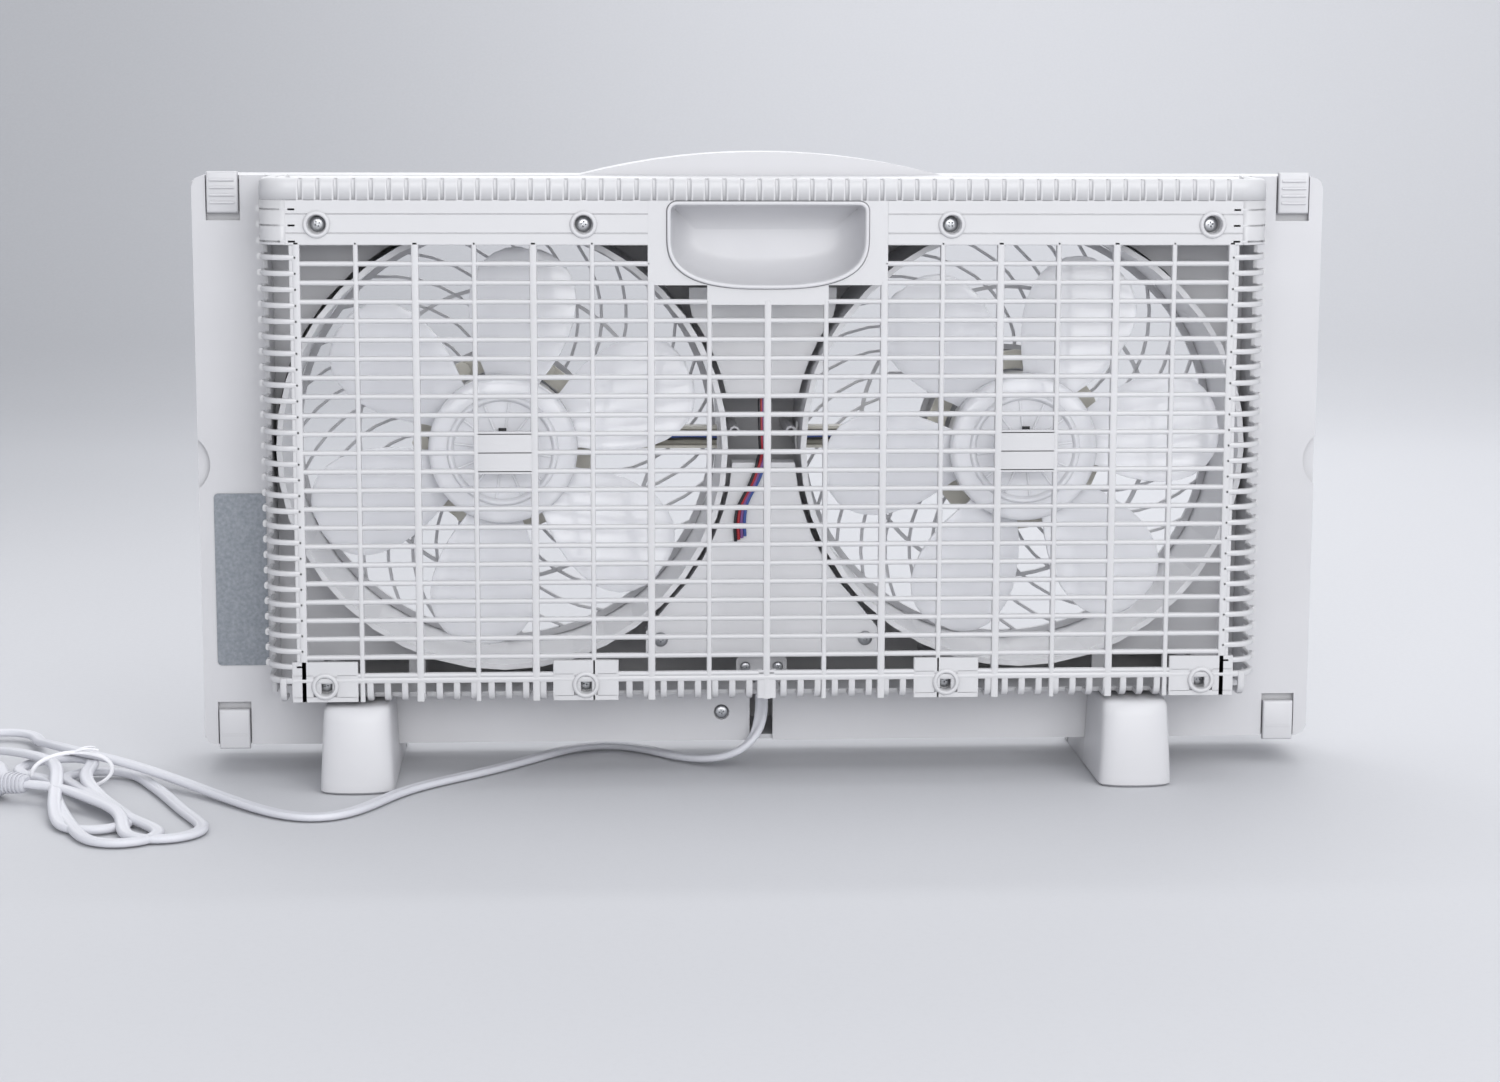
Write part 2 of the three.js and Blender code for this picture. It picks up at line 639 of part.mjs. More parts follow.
for (const [letter, x, z] of GUARD_SCREWS) {
  put(`guard_screw_${letter}`, screw(4.2, SHANK_R, BOSS_FLOOR_Y - 2.1, 14, x, z), 'steel');
}
put('flange_screw_left', screw(3.8, 1.4, COVER_Y[0] + 0.1, 11, -22, 31), 'steel');
put('flange_screw_right', screw(3.8, 1.4, COVER_Y[0] + 0.1, 11, FOOT_X.right, 31), 'steel');
put('clamp_screw_left', screw(2.8, 1, -11.1, 14, -9, 57), 'steel');
put('clamp_screw_right', screw(2.8, 1, -11.1, 14, 9, 57), 'steel');
put('cover_screw_left', screw(4, 1.4, -24.1, 22, -56, 75), 'steel');
put('cover_screw_right', screw(4, 1.4, -24.1, 22, 56, 75), 'steel');

// ---- room-side controls ----
let panel = plate(waist(5.5, 50, 92, 270), FRONT_Y + GAP, FRONT_Y + 2.3);
for (const z of Object.values(KNOB_Z)) {
  panel = panel.subtract(disc(4, FRONT_Y - 1, FRONT_Y + 4, 12, 0, z));
}
panel = panel.subtract(disc(3.3, FRONT_Y - 1, FRONT_Y + 4, 12, 0, FAN_Z));
put('control_panel', panel, 'white');
put('pilot_lens', disc(3, FRONT_Y + GAP, FRONT_Y + 3.4, 12, 0, FAN_Z), 'lens');

function knob(z) {
  let body = disc(KNOB_R, FRONT_Y + 2.8, FRONT_Y + 9, 24, 0, z);
  body = body.add(box([-2.6, 2.6], [FRONT_Y + 8, FRONT_Y + 15], [z - KNOB_R + 1, z + KNOB_R - 1]));
  return body.add(disc(3.5, FRONT_INNER_Y - 3, FRONT_Y + 4, 12, 0, z));
}

function switchBody(z) {
  const body = box([-13, 13], [22, FRONT_INNER_Y - GAP], [z - 14, z + 14]);
  return body.subtract(disc(4, FRONT_INNER_Y - 4, FRONT_INNER_Y + 1, 12, 0, z));
}

for (const [name, z] of Object.entries(KNOB_Z)) {
  put(`${name}_knob`, knob(z), 'white');
  put(`${name}_switch`, switchBody(z), 'black');
}

// ---- mains cord, hank, tie and plug ----
const CORD_Z = CORD_D / 2 + 0.1;
const CORD_ROUTE = [
  [0, 0, 78], [0, 0, 64], [0, -1, 52], [0.5, -6, 39], [0, -13, 28], [-3, -17.5, 19], [-10, -18, 11.5],
  [-24, -13, 6], [-43, 3, CORD_Z], [-60, 25, CORD_Z], [-78, 39, CORD_Z], [-96, 38, CORD_Z],
  [-112, 25, CORD_Z], [-128, 5, CORD_Z], [-144, -14, CORD_Z], [-160, -31, CORD_Z], [-176, -46, CORD_Z],
  [-191, -63, CORD_Z], [-201, -80, CORD_Z], [-211, -101, CORD_Z], [-223, -118, CORD_Z],
  [-237, -124, CORD_Z], [-251, -118, CORD_Z], [-264, -107, CORD_Z], [-280, -89, CORD_Z],
  [-301, -65, CORD_Z], [-325, -44, 5],
];
const hankTurn = THREE.MathUtils.degToRad(-HANK.turn);

// A point along the hank from its tie (towards the guard side), across it and up.
function hankPoint(along, across, z) {
  const c = Math.cos(hankTurn);
  const s = Math.sin(hankTurn);
  return new THREE.Vector3(TIE_AT.x + along * c - across * s, TIE_AT.y + along * s + across * c, z);
}

function hankOutline(grow) {
  const r = HANK.halfWidth + grow;
  const l = HANK.halfLength - HANK.halfWidth;
  const local = [...arc(l, 0, r, -90, 90, 8), ...arc(-l, 0, r, 90, 270, 8)];
  return local.map(([a, b]) => {
    const p = hankPoint(a + HANK.along, b + HANK.across, 0);
    return [p.x, p.y];
  });
}

function hankBox(along, across, z) {
  const g = new THREE.BoxGeometry(along[1] - along[0], across[1] - across[0], z[1] - z[0]);
  g.translate((along[0] + along[1]) / 2, (across[0] + across[1]) / 2, (z[0] + z[1]) / 2);
  return solid(g.rotateZ(hankTurn).translate(TIE_AT.x, TIE_AT.y, 0));
}

const cordPoints = CORD_ROUTE.map(([x, y, z]) => new THREE.Vector3(x, y, z));
cordPoints.push(hankPoint(-2, 32, 8));
const cordCurve = new THREE.CatmullRomCurve3(cordPoints, false, 'centripetal');
const cordSection = new THREE.Shape().absarc(0, 0, CORD_D / 2, 0, Math.PI * 2);
const cordGeometry = new THREE.ExtrudeGeometry(cordSection, {
  steps: 36, curveSegments: 5, extrudePath: cordCurve, bevelEnabled: false,
});
put('cord_run', solid(cordGeometry).subtract(slab(hankOutline(GAP), -1, HANK.height + 5)), 'cord');
put('cord_hank', slab(hankOutline(0), 0.2, HANK.height), 'cord');

const tieAcross = [HANK.across - HANK.halfWidth - GAP, HANK.across + HANK.halfWidth + GAP];
const strap = hankBox([-1.5, 1.5], [tieAcross[0] - 1.6, tieAcross[1] + 1.6], [2, HANK.height + GAP + 1.6]);
put('cord_tie', strap.subtract(hankBox([-20, 20], tieAcross, [-2, HANK.height + GAP])), 'cord');

// The plug lies beside the hank and points away from it, skewed towards the fan.
const PLUG_ALONG = 15;
const PLUG_SKEW = 45;
const PLUG_Z = 10;

function plugPlace(geometry) {
  const at = hankPoint(PLUG_ALONG, tieAcross[0] - 3, PLUG_Z);
  const turn = hankTurn - THREE.MathUtils.degToRad(PLUG_SKEW);
  return solid(geometry.rotateZ(turn).translate(at.x, at.y, at.z));
}

function plugBody() {
  const outline = [
    [-3.9, 0], [3.9, 0], [5, -12], [11, -16], [12.5, -22], [12.5, -44], [10, -47],
    [-10, -47], [-12.5, -44], [-12.5, -22], [-11, -16], [-5, -12],
  ];
  const flat = new THREE.ExtrudeGeometry(shapeOf(outline), { depth: 20, bevelEnabled: false });
  const tall = new THREE.ExtrudeGeometry(shapeOf([
    [0, -3.9], [-12, -5], [-17, -9.5], [-47, -9.5], [-48, -8], [-48, 8], [-47, 9.5], [-17, 9.5],
    [-12, 5], [0, 3.9],
  ]), { depth: 30, bevelEnabled: false });
  tall.rotateY(-Math.PI / 2).rotateX(-Math.PI / 2).translate(15, 0, 0);
  let body = plugPlace(flat.translate(0, 0, -10)).intersect(plugPlace(tall));
  for (const x of [-6.35, 6.35]) {
    body = body.subtract(plugPlace(new THREE.BoxGeometry(2.2, 8, 7).translate(x, -45, 0)));
  }
  return body;
}

put('plug', plugBody(), 'cord');
for (const [letter, x] of [['a', -6.35], ['b', 6.35]]) {
  put(`plug_pin_${letter}`, plugPlace(new THREE.BoxGeometry(1.5, 21, 6.3).translate(x, -51.9, 0)), 'brass');
}

export default group;
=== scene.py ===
# Window fan with paired propellers, seen from its outdoor side, on a pale studio floor.
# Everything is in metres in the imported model's frame: +Z up, floor at z = 0, -Y the guard side.
import math
import bpy
import bmesh
from mathutils import Matrix, Vector


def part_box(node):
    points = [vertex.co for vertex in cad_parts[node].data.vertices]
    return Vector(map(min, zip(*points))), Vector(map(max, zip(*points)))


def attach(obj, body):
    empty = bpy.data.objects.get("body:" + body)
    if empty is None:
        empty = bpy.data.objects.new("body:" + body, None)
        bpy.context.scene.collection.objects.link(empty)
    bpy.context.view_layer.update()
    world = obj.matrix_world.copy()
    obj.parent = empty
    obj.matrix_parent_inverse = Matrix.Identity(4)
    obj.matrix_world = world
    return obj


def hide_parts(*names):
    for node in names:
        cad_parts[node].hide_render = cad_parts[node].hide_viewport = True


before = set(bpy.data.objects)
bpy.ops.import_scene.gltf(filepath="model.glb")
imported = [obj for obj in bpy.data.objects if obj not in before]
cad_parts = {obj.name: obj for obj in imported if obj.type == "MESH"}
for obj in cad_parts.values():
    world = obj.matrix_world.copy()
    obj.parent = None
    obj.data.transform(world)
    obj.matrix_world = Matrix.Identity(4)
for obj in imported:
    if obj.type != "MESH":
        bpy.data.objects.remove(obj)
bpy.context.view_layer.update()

MM = 0.001
SIDES = (("left", -1), ("right", 1))
FAN_X, FAN_Z = 0.1406, 0.1808


# ---------------------------------------------------------------- camera
CAMERA_AT = (-0.094, -1.598, 0.3717)
CAMERA_LENS = 70.4
CAMERA_YAW, CAMERA_PITCH, CAMERA_ROLL = 3.15, 8.74, 0.17


def make_camera():
    data = bpy.data.cameras.new("camera")
    data.sensor_width = 36.0
    data.lens = CAMERA_LENS
    cam = bpy.data.objects.new("camera", data)
    bpy.context.scene.collection.objects.link(cam)
    bpy.context.scene.camera = cam
    yaw, pitch, roll = (math.radians(a) for a in (CAMERA_YAW, CAMERA_PITCH, CAMERA_ROLL))
    ahead = Vector((math.sin(yaw) * math.cos(pitch), math.cos(yaw) * math.cos(pitch), -math.sin(pitch)))
    flat = Vector((math.cos(yaw), -math.sin(yaw), 0))
    up = flat.cross(ahead)
    right = flat * math.cos(roll) + up * math.sin(roll)
    up = right.cross(ahead)
    turn = Matrix((right, up, -ahead)).transposed().to_4x4()
    cam.matrix_world = Matrix.Translation(CAMERA_AT) @ turn
    return cam


# ---------------------------------------------------------------- materials
def new_material(name):
    mat = bpy.data.materials.new(name)
    mat.use_nodes = True
    return mat, mat.node_tree.nodes, mat.node_tree.links, mat.node_tree.nodes["Principled BSDF"]


def add_noise(nodes, links, scale, detail=3.0):
    coords = nodes.new("ShaderNodeTexCoord")
    tex = nodes.new("ShaderNodeTexNoise")
    tex.inputs["Scale"].default_value = scale
    tex.inputs["Detail"].default_value = detail
    links.new(coords.outputs["Object"], tex.inputs["Vector"])
    return tex


def add_range(nodes, links, source, low, high):
    node = nodes.new("ShaderNodeMapRange")
    node.inputs["From Min"].default_value = 0.3
    node.inputs["From Max"].default_value = 0.7
    node.inputs["To Min"].default_value = low
    node.inputs["To Max"].default_value = high
    links.new(source, node.inputs["Value"])
    return node.outputs["Result"]


def moulded(name, colour, rough=0.4, grain=0.25, soil=0.94, through=0.0, metal=0.0, scale=2600.0):
    """Moulded plastic: a fine spark-eroded grain, slow colour drift, duller patches and painted shade in
    the corners.
    """
    mat, nodes, links, bsdf = new_material(name)
    drift = add_noise(nodes, links, 9.0)
    mix = nodes.new("ShaderNodeMix")
    mix.data_type = "RGBA"
    mix.inputs["A"].default_value = (*[c * soil for c in colour], 1)
    mix.inputs["B"].default_value = (*colour, 1)
    links.new(add_range(nodes, links, drift.outputs["Fac"], 0.0, 1.0), mix.inputs["Factor"])
    # Painted shade: an ambient-occlusion mask darkens the colour to 0.8 of itself in corners, creases and
    # gaps between parts.
    corner_shade = nodes.new("ShaderNodeAmbientOcclusion")
    corner_shade.inputs["Distance"].default_value = 0.006
    corner_shade.samples = 4
    shade = nodes.new("ShaderNodeMix")
    shade.data_type = "RGBA"
    shade.inputs["A"].default_value = (*[c * 0.8 for c in colour], 1)
    links.new(corner_shade.outputs["AO"], shade.inputs["Factor"])
    links.new(mix.outputs["Result"], shade.inputs["B"])
    links.new(shade.outputs["Result"], bsdf.inputs["Base Color"])
    wear = add_noise(nodes, links, 38.0, 5.0)
    duller = add_range(nodes, links, wear.outputs["Fac"], rough - 0.05, rough + 0.07)
    links.new(duller, bsdf.inputs["Roughness"])
    fine = add_noise(nodes, links, scale, 1.0)
    bump = nodes.new("ShaderNodeBump")
    bump.inputs["Strength"].default_value = grain
    bump.inputs["Distance"].default_value = 0.0001
    links.new(fine.outputs["Fac"], bump.inputs["Height"])
    links.new(bump.outputs["Normal"], bsdf.inputs["Normal"])
    bsdf.inputs["Metallic"].default_value = metal
    bsdf.inputs["Subsurface Weight"].default_value = through
    bsdf.inputs["Subsurface Radius"].default_value = (0.004, 0.004, 0.0042)
    return mat


def label_material():
    """A blank silver-grey foil with a faint grain."""
    mat, nodes, links, bsdf = new_material("label_foil")
    grain = add_noise(nodes, links, 500.0, 4.0)
    mix = nodes.new("ShaderNodeMix")
    mix.data_type = "RGBA"
    mix.inputs["A"].default_value = (0.19, 0.21, 0.235, 1)
    mix.inputs["B"].default_value = (0.27, 0.29, 0.32, 1)
    links.new(add_range(nodes, links, grain.outputs["Fac"], 0.0, 1.0), mix.inputs["Factor"])
    links.new(mix.outputs["Result"], bsdf.inputs["Base Color"])
    bsdf.inputs["Metallic"].default_value = 0.35
    bsdf.inputs["Roughness"].default_value = 0.42
    return mat


# Painted light: a brighter copy of the white plastic (0.80 against 0.60) for the parts inside the housing,
# which sit in shade.
LIT_WHITE = (0.80, 0.80, 0.82)
MATERIALS = {
    "white": moulded("white_abs", (0.60, 0.60, 0.62), 0.38, 0.22),
    "inner": moulded("inner_lit_abs", LIT_WHITE, 0.42, 0.25),
    "guard": moulded("guard_abs", (0.585, 0.585, 0.60), 0.33, 0.18),
    "flange": moulded("flange_abs", (0.58, 0.58, 0.60), 0.42, 0.3),
    "blade": moulded("blade_san", (0.84, 0.845, 0.875), 0.16, 0.05, 0.97, through=0.25),
    # Painted light and shade: the beige on the motor plates stands in for the dim, warm light that comes
    # through the plastic round the ducts.
    "beige": moulded("beige_shade_tint", (0.62, 0.60, 0.53), 0.45, 0.3),
    "black": moulded("black_rubbery", (0.018, 0.018, 0.02), 0.5, 0.4, 0.8),
    "motor": moulded("motor_lamination", (0.32, 0.33, 0.35), 0.36, 0.6, 0.7, metal=0.9, scale=900.0),
    "steel": moulded("zinc_screw", (0.55, 0.56, 0.58), 0.3, 0.35, 0.75, metal=0.95, scale=1500.0),
    "brass": moulded("brass_pin", (0.72, 0.53, 0.24), 0.25, 0.2, 0.85, metal=1.0),
    "label": label_material(),
    "cord": moulded("cord_vinyl", (0.66, 0.665, 0.71), 0.4, 0.35, 0.93, through=0.1, scale=1400.0),
    "plug": moulded("plug_vinyl", (0.60, 0.605, 0.65), 0.38, 0.3, 0.92, through=0.1, scale=1400.0),
    "tie": moulded("tie_vinyl", (0.83, 0.83, 0.86), 0.3, 0.2),
    "lens": moulded("lens_acrylic", (0.6, 0.05, 0.02), 0.12, 0.05, 0.9, through=0.3),
}
WIRE_COLOURS = {
    "black": (0.02, 0.02, 0.025),
    "red": (0.42, 0.03, 0.04),
    "purple": (0.22, 0.10, 0.30),
    "blue": (0.05, 0.10, 0.34),
}
for _name, _colour in WIRE_COLOURS.items():
    MATERIALS[f"wire_{_name}"] = moulded(f"wire_{_name}", _colour, 0.35, 0.2)


# ---------------------------------------------------------------- mesh helpers
def add_object(name, verts, faces, material, smooth=40):
    mesh = bpy.data.meshes.new(name)
    mesh.from_pydata([tuple(v) for v in verts], [], faces)
    mesh.validate()
    work = bmesh.new()
    work.from_mesh(mesh)
    bmesh.ops.remove_doubles(work, verts=work.verts, dist=1e-6)
    bmesh.ops.recalc_face_normals(work, faces=work.faces)
    work.to_mesh(mesh)
    work.free()
    obj = bpy.data.objects.new(name, mesh)
    bpy.context.scene.collection.objects.link(obj)
    mesh.materials.append(MATERIALS[material])
    if smooth:
        mesh.shade_smooth()
        mesh.set_sharp_from_angle(angle=math.radians(smooth))
    return obj


def freeze(obj):
    """Applies the object's modifiers to its mesh."""
    shape = obj.evaluated_get(bpy.context.evaluated_depsgraph_get())
    mesh = bpy.data.meshes.new_from_object(shape)
    obj.modifiers.clear()
    obj.data = mesh
    return obj


def bevel(obj, width, segments=2, angle=35):
    mod = obj.modifiers.new("bevel", "BEVEL")
    mod.width = width
    mod.segments = segments
    mod.limit_method = "ANGLE"
    mod.angle_limit = math.radians(angle)
    mod.use_clamp_overlap = True
    return obj


def merge(name, parts, material, smooth=40):
    """One object from a list of (verts, faces)."""
    verts, faces = [], []
    for part_verts, part_faces in parts:
        base = len(verts)
        verts.extend(part_verts)
        faces.extend([tuple(i + base for i in face) for face in part_faces])
    return add_object(name, verts, faces, material, smooth)


def finish_piece(obj, body, slot, *nodes):
    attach(obj, body)
    if nodes:
        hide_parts(*nodes)
    return obj


def loft(rings, close=True, cap_start=True, cap_end=True):
    """Skins rings of equal length."""
    verts = [v for ring in rings for v in ring]
    n = len(rings[0])
    faces = []
    for i in range(len(rings) - 1):
        for j in range(n if close else n - 1):
            a, b = i * n + j, i * n + (j + 1) % n
            faces.append((a, b, b + n, a + n))
    if cap_start:
        faces.append(tuple(range(n - 1, -1, -1)))
    if cap_end:
        faces.append(tuple(range((len(rings) - 1) * n, len(rings) * n)))
    return verts, faces


def lathe(profile, sides, centre, cap=False):
    """A profile of (radius, y) turned about an axis along Y."""
    rings = []
    for r, y in profile:
        ring = []
        for k in range(sides):
            a = 2 * math.pi * k / sides
            ring.append(Vector((centre[0] + r * math.cos(a), y, centre[1] + r * math.sin(a))))
        rings.append(ring)
    return loft(rings, True, cap, cap)


def frames(points, up=Vector((0, 0, 1))):
    """Tangent, side and normal along a path. The side starts level and is carried along without twist."""
    result = []
    side = None
    for i, p in enumerate(points):
        ahead = points[min(i + 1, len(points) - 1)] - points[max(i - 1, 0)]
        ahead.normalize()
        if side is None:
            side = ahead.cross(up)
            if side.length < 0.2:
                side = ahead.cross(Vector((0, 1, 0)))
        side = (side - ahead * side.dot(ahead)).normalized()
        result.append((ahead, side, side.cross(ahead)))
    return result


def sweep(points, section, up=Vector((0, 0, 1))):
    """A closed section of (side, normal) pairs carried along a path."""
    rings = []
    for p, (_, side, normal) in zip(points, frames(points, up)):
        rings.append([p + side * u + normal * v for u, v in section])
    return loft(rings)


def rounded(width, depth, r, steps=3):
    """A rounded rectangle about the origin."""
    points = []
    for cx, cy, start in ((1, 1, 0), (-1, 1, 90), (-1, -1, 180), (1, -1, 270)):
        for k in range(steps + 1):
            a = math.radians(start + 90 * k / steps)
            points.append((cx * (width / 2 - r) + r * math.cos(a), cy * (depth / 2 - r) + r * math.sin(a)))
    return points


def block(x, y, z, r=0.0006, steps=2):
    """A box with its long edges along Z rounded."""
    section = rounded(x[1] - x[0], y[1] - y[0], r, steps)
    cx, cy = (x[0] + x[1]) / 2, (y[0] + y[1]) / 2
    return loft([[Vector((cx + u, cy + v, h)) for u, v in section] for h in z])


def smooth_path(points, steps):
    """A Catmull-Rom curve through the points, sampled evenly by length."""
    pts = [Vector(p) for p in points]
    pts = [pts[0] * 2 - pts[1]] + pts + [pts[-1] * 2 - pts[-2]]
    dense = []
    for i in range(1, len(pts) - 2):
        a, b, c, d = pts[i - 1:i + 3]
        for k in range(24):
            t = k / 24
            dense.append(0.5 * (2 * b + (c - a) * t + (2 * a - 5 * b + 4 * c - d) * t * t
                                + (3 * b - a - 3 * c + d) * t ** 3))
    dense.append(pts[-2].copy())
    return even(dense, steps)


def relax(points, rounds):
    """Takes the corners out of a path, and leaves its ends where they are."""
    for _ in range(rounds):
        middle = [(a + b * 2 + c) / 4 for a, b, c in zip(points, points[1:], points[2:])]
        points = [points[0]] + middle + [points[-1]]
    return points


def around(steps):
    """Angles evenly round a circle."""
    return [2 * math.pi * k / steps for k in range(steps)]


def path_length(points):
    return sum((b - a).length for a, b in zip(points, points[1:]))


def even(points, steps):
    total = path_length(points)
    result, walked, i = [points[0].copy()], 0.0, 0
    for k in range(1, steps):
        goal = total * k / steps
        while walked + (points[i + 1] - points[i]).length < goal:
            walked += (points[i + 1] - points[i]).length
            i += 1
        part = (goal - walked) / max((points[i + 1] - points[i]).length, 1e-9)
        result.append(points[i].lerp(points[i + 1], part))
    result.append(points[-1].copy())
    return result


# ---------------------------------------------------------------- cord, hank, tie and plug
CORD_WIDTH, CORD_THICK = 0.0072, 0.0038
CORD_RUN = [
    (0, 0, 78), (0, 0, 64), (0, -1, 52), (0.5, -6, 39), (0, -13, 28), (-3, -17.5, 19), (-10, -18, 11.5),
    (-24, -13, 6), (-43, 3, 3.2), (-60, 25, 2.3), (-78, 39, 2.3), (-96, 38, 2.3), (-112, 25, 2.3),
    (-128, 5, 2.3), (-144, -14, 2.3), (-160, -31, 2.3), (-176, -46, 2.3), (-191, -63, 2.3),
    (-201, -80, 2.3), (-211, -101, 2.3), (-223, -118, 2.3), (-237, -124, 2.3), (-251, -118, 2.4),
    (-264, -107, 2.6), (-280, -89, 3.0), (-301, -65, 4.2), (-325, -44, 7.5), (-347, -32, 11.5),
]
TIE_AT = Vector((-0.373, -0.050, 0))
HANK_TURN = math.radians(-65)
FOLD = 23.0


def hank_point(along, across, z):
    """A point given from the tie along the hank (towards the guard side), across it and up, in mm."""
    c, s = math.cos(HANK_TURN), math.sin(HANK_TURN)
    return TIE_AT + Vector((along * c - across * s, along * s + across * c, z)) * MM


def fold(along, across, start, end, z_start, z_end, r=FOLD, steps=8):
    """An arc of the hank about a centre, with the angles taken from its near end towards the right."""
    points = []
    for k in range(steps + 1):
        a = math.radians(start + (end - start) * k / steps)
        z = z_start + (z_end - z_start) * k / steps
        points.append((along + r * math.cos(a), across + r * math.sin(a), z))
    return points


def hank_route():
    """Long far loop, three loops towards the viewer with folds at the tie between them, then the plug."""
    route = [(-24, 15, 14.5), (-52, 9, 13), (-82, 9, 9)]
    route += fold(-120, -8, 60, 300, 4.5, 4.5)
    route += [(-84, -24, 8), (-50, -14, 12.5), (-12, -5, 14), (20, -12, 11), (52, -22, 6)]
    route += fold(82, -9, -90, 85, 2.6, 2.6, 18.5)
    route += [(50, 6, 4.5), (20, 4, 9), (2, 9, 10.5)]
    route += fold(-22, -1, 80, 280, 10, 7, 21)
    route += [(4, -10, 8), (40, -18, 6), (80, -22, 3.2)]
    route += fold(112, -4, -90, 85, 2.4, 2.4, 19.5)
    route += [(78, 6, 4), (40, 0, 7), (12, 0, 5.5)]
    route += fold(-4, 19, 260, 90, 4.5, 2.6, 21)
    route += [(40, 40, 2.4), (80, 38, 2.4)]
    route += fold(112, 17, 85, -85, 2.4, 2.4, 21)
    route += [(80, 4, 6), (48, -6, 8.5), (30, -12, 9.5), (PLUG_ALONG + 5.5, PLUG_ACROSS + 5.5, 10)]
    route += [(PLUG_ALONG - 1, PLUG_ACROSS - 1, PLUG_UP)]
    return [hank_point(*p) for p in route]


def cord_section(steps=14):
    """Two round conductors side by side with a groove between them."""
    r = CORD_THICK / 2
    shift = CORD_WIDTH / 2 - r
    points = []
    for side in (1, -1):
        for k in range(steps + 1):
            a = math.radians(-118 + 236 * k / steps)
            points.append((side * (shift + r * math.cos(a)), side * r * math.sin(a)))
    return points


def flat_sweep(points, section):
    """Carries the cord's flat section along a path, kept level wherever the path isn't steep."""
    rings, side = [], Vector((0, 1, 0))
    for i, p in enumerate(points):
        ahead = (points[min(i + 1, len(points) - 1)] - points[max(i - 1, 0)]).normalized()
        level = ahead.cross(Vector((0, 0, 1)))
        side = level.normalized() if level.length > 0.3 else (side - ahead * side.dot(ahead)).normalized()
        normal = side.cross(ahead)
        rings.append([p + side * u + normal * v for u, v in section])
    return loft(rings)


def make_cord():
    points = [Vector(p) * MM for p in CORD_RUN] + hank_route()
    path = relax(smooth_path(points, 420), 8)
    obj = merge("mains_cord", [flat_sweep(path, cord_section())], "cord", 60)
    finish_piece(obj, "base", "cord", "cord_run", "cord_hank")
    return obj, path


def make_tie():
    """A twist tie round the bundle: a flat vinyl-covered wire, its ends twisted together on top."""
    ring = []
    for k in range(37):
        a = 2 * math.pi * k / 36
        z = 9.6 + 10.4 * math.sin(a)
        ring.append(hank_point(-4 + 3 * math.cos(a), 3 + 21 * math.cos(a), max(0.9, z)))
    flat = [(0.0011 * math.cos(t), 0.0006 * math.sin(t)) for t in around(10)]
    parts = [sweep(ring, flat, up=Vector((0.42, -0.9, 0)))]
    for lean in (-1, 1):
        tail = [hank_point(-4 + lean * 0.7 * k, 5 + 1.9 * k, 20.2 + 0.8 * k - 0.12 * k * k)
                for k in range(7)]
        parts.append(sweep(tail, flat))
    obj = merge("cord_tie_loop", parts, "tie", 60)
    return finish_piece(obj, "base", "tie", "cord_tie")


PLUG_ALONG, PLUG_ACROSS, PLUG_UP, PLUG_SKEW = 15, -26.3, 10, 45


def plug_frame():
    """Origin at the relief's mouth, x along the plug, y across it, z up."""
    origin = hank_point(PLUG_ALONG, PLUG_ACROSS, PLUG_UP)
    back = math.radians(PLUG_SKEW)
    ahead = (hank_point(-math.sin(back), -math.cos(back), 0) - hank_point(0, 0, 0)).normalized()
    up = Vector((0, 0, 1))
    return origin, ahead, up.cross(ahead), up


def make_plug():
    origin, ahead, across, up = plug_frame()

    def ring(x, half_wide, half_tall, r, shift=0.0):
        return [origin + ahead * (x * MM) + across * ((u + shift) * MM) + up * (v * MM)
                for u, v in rounded(half_wide * 2, half_tall * 2, r, 4)]

    body = [
        (0.0, 3.9, 3.4, 3.2), (1.0, 4.9, 4.4, 4.0), (12.5, 5.6, 5.2, 4.6), (14.5, 7.6, 6.6, 5.0),
        (17.5, 10.8, 8.4, 5.0), (21, 12.1, 9.2, 4.5), (30, 12.3, 9.3, 3.5), (44.5, 12.4, 9.4, 2.5),
        (46.4, 12.0, 9.0, 2.4), (47.2, 10.8, 8.0, 2.2),
    ]
    parts = [loft([ring(*row) for row in body])]
    for k in range(5):
        x = 2.2 + k * 2.2
        wide, tall = 5.5 + k * 0.12, 5.0 + k * 0.14
        parts.append(loft([ring(x, wide, tall, 4.4), ring(x + 1.0, wide + 0.1, tall + 0.1, 4.4)]))
    for side in (-1, 1):
        for k in range(4):
            x = 26 + k * 3.4
            start = origin + ahead * (x * MM) + across * (side * 12.2 * MM) - up * (5.5 * MM)
            end = start + up * (11 * MM)
            rib = rounded(0.0012, 0.0012, 0.0005, 2)
            parts.append(sweep([start, start.lerp(end, 0.5), end], rib, up=ahead))
    obj = merge("plug_moulding", parts, "plug", 40)
    return finish_piece(obj, "base", "cord", "plug")


camera = make_camera()
cord, cord_path = make_cord()
tie = make_tie()
plug = make_plug()


# ---------------------------------------------------------------- outdoor guard
GUARD = {"x": 0.2664, "front": -0.056, "back": -0.004, "low": 0.048, "high": 0.326, "round": 0.015}
BAR_PITCH, BAR_EDGE = 0.0308, 0.2464
RUNG_TOP, RUNG_PITCH, RUNGS = 0.2815, 0.0099545, 23


def guard_path(z, back, inset=0.0, step=0.0012):
    """The guard's outline seen from above, from back left round the front to back right."""
    x, y, r = GUARD["x"] - inset, GUARD["front"] + inset, GUARD["round"] - inset
    points = [Vector((-x, back, z)), Vector((-x, y + r, z))]
    for k in range(1, 9):
        a = math.radians(180 + 90 * k / 8)
        points.append(Vector((-x + r + r * math.cos(a), y + r + r * math.sin(a), z)))
    count = max(2, round(2 * (x - r) / step))
    for k in range(1, count):
        points.append(Vector((-x + r + 2 * (x - r) * k / count, y, z)))
    for k in range(9):
        a = math.radians(270 + 90 * k / 8)
        points.append(Vector((x - r + r * math.cos(a), y + r + r * math.sin(a), z)))
    points.append(Vector((x, back, z)))
    return points


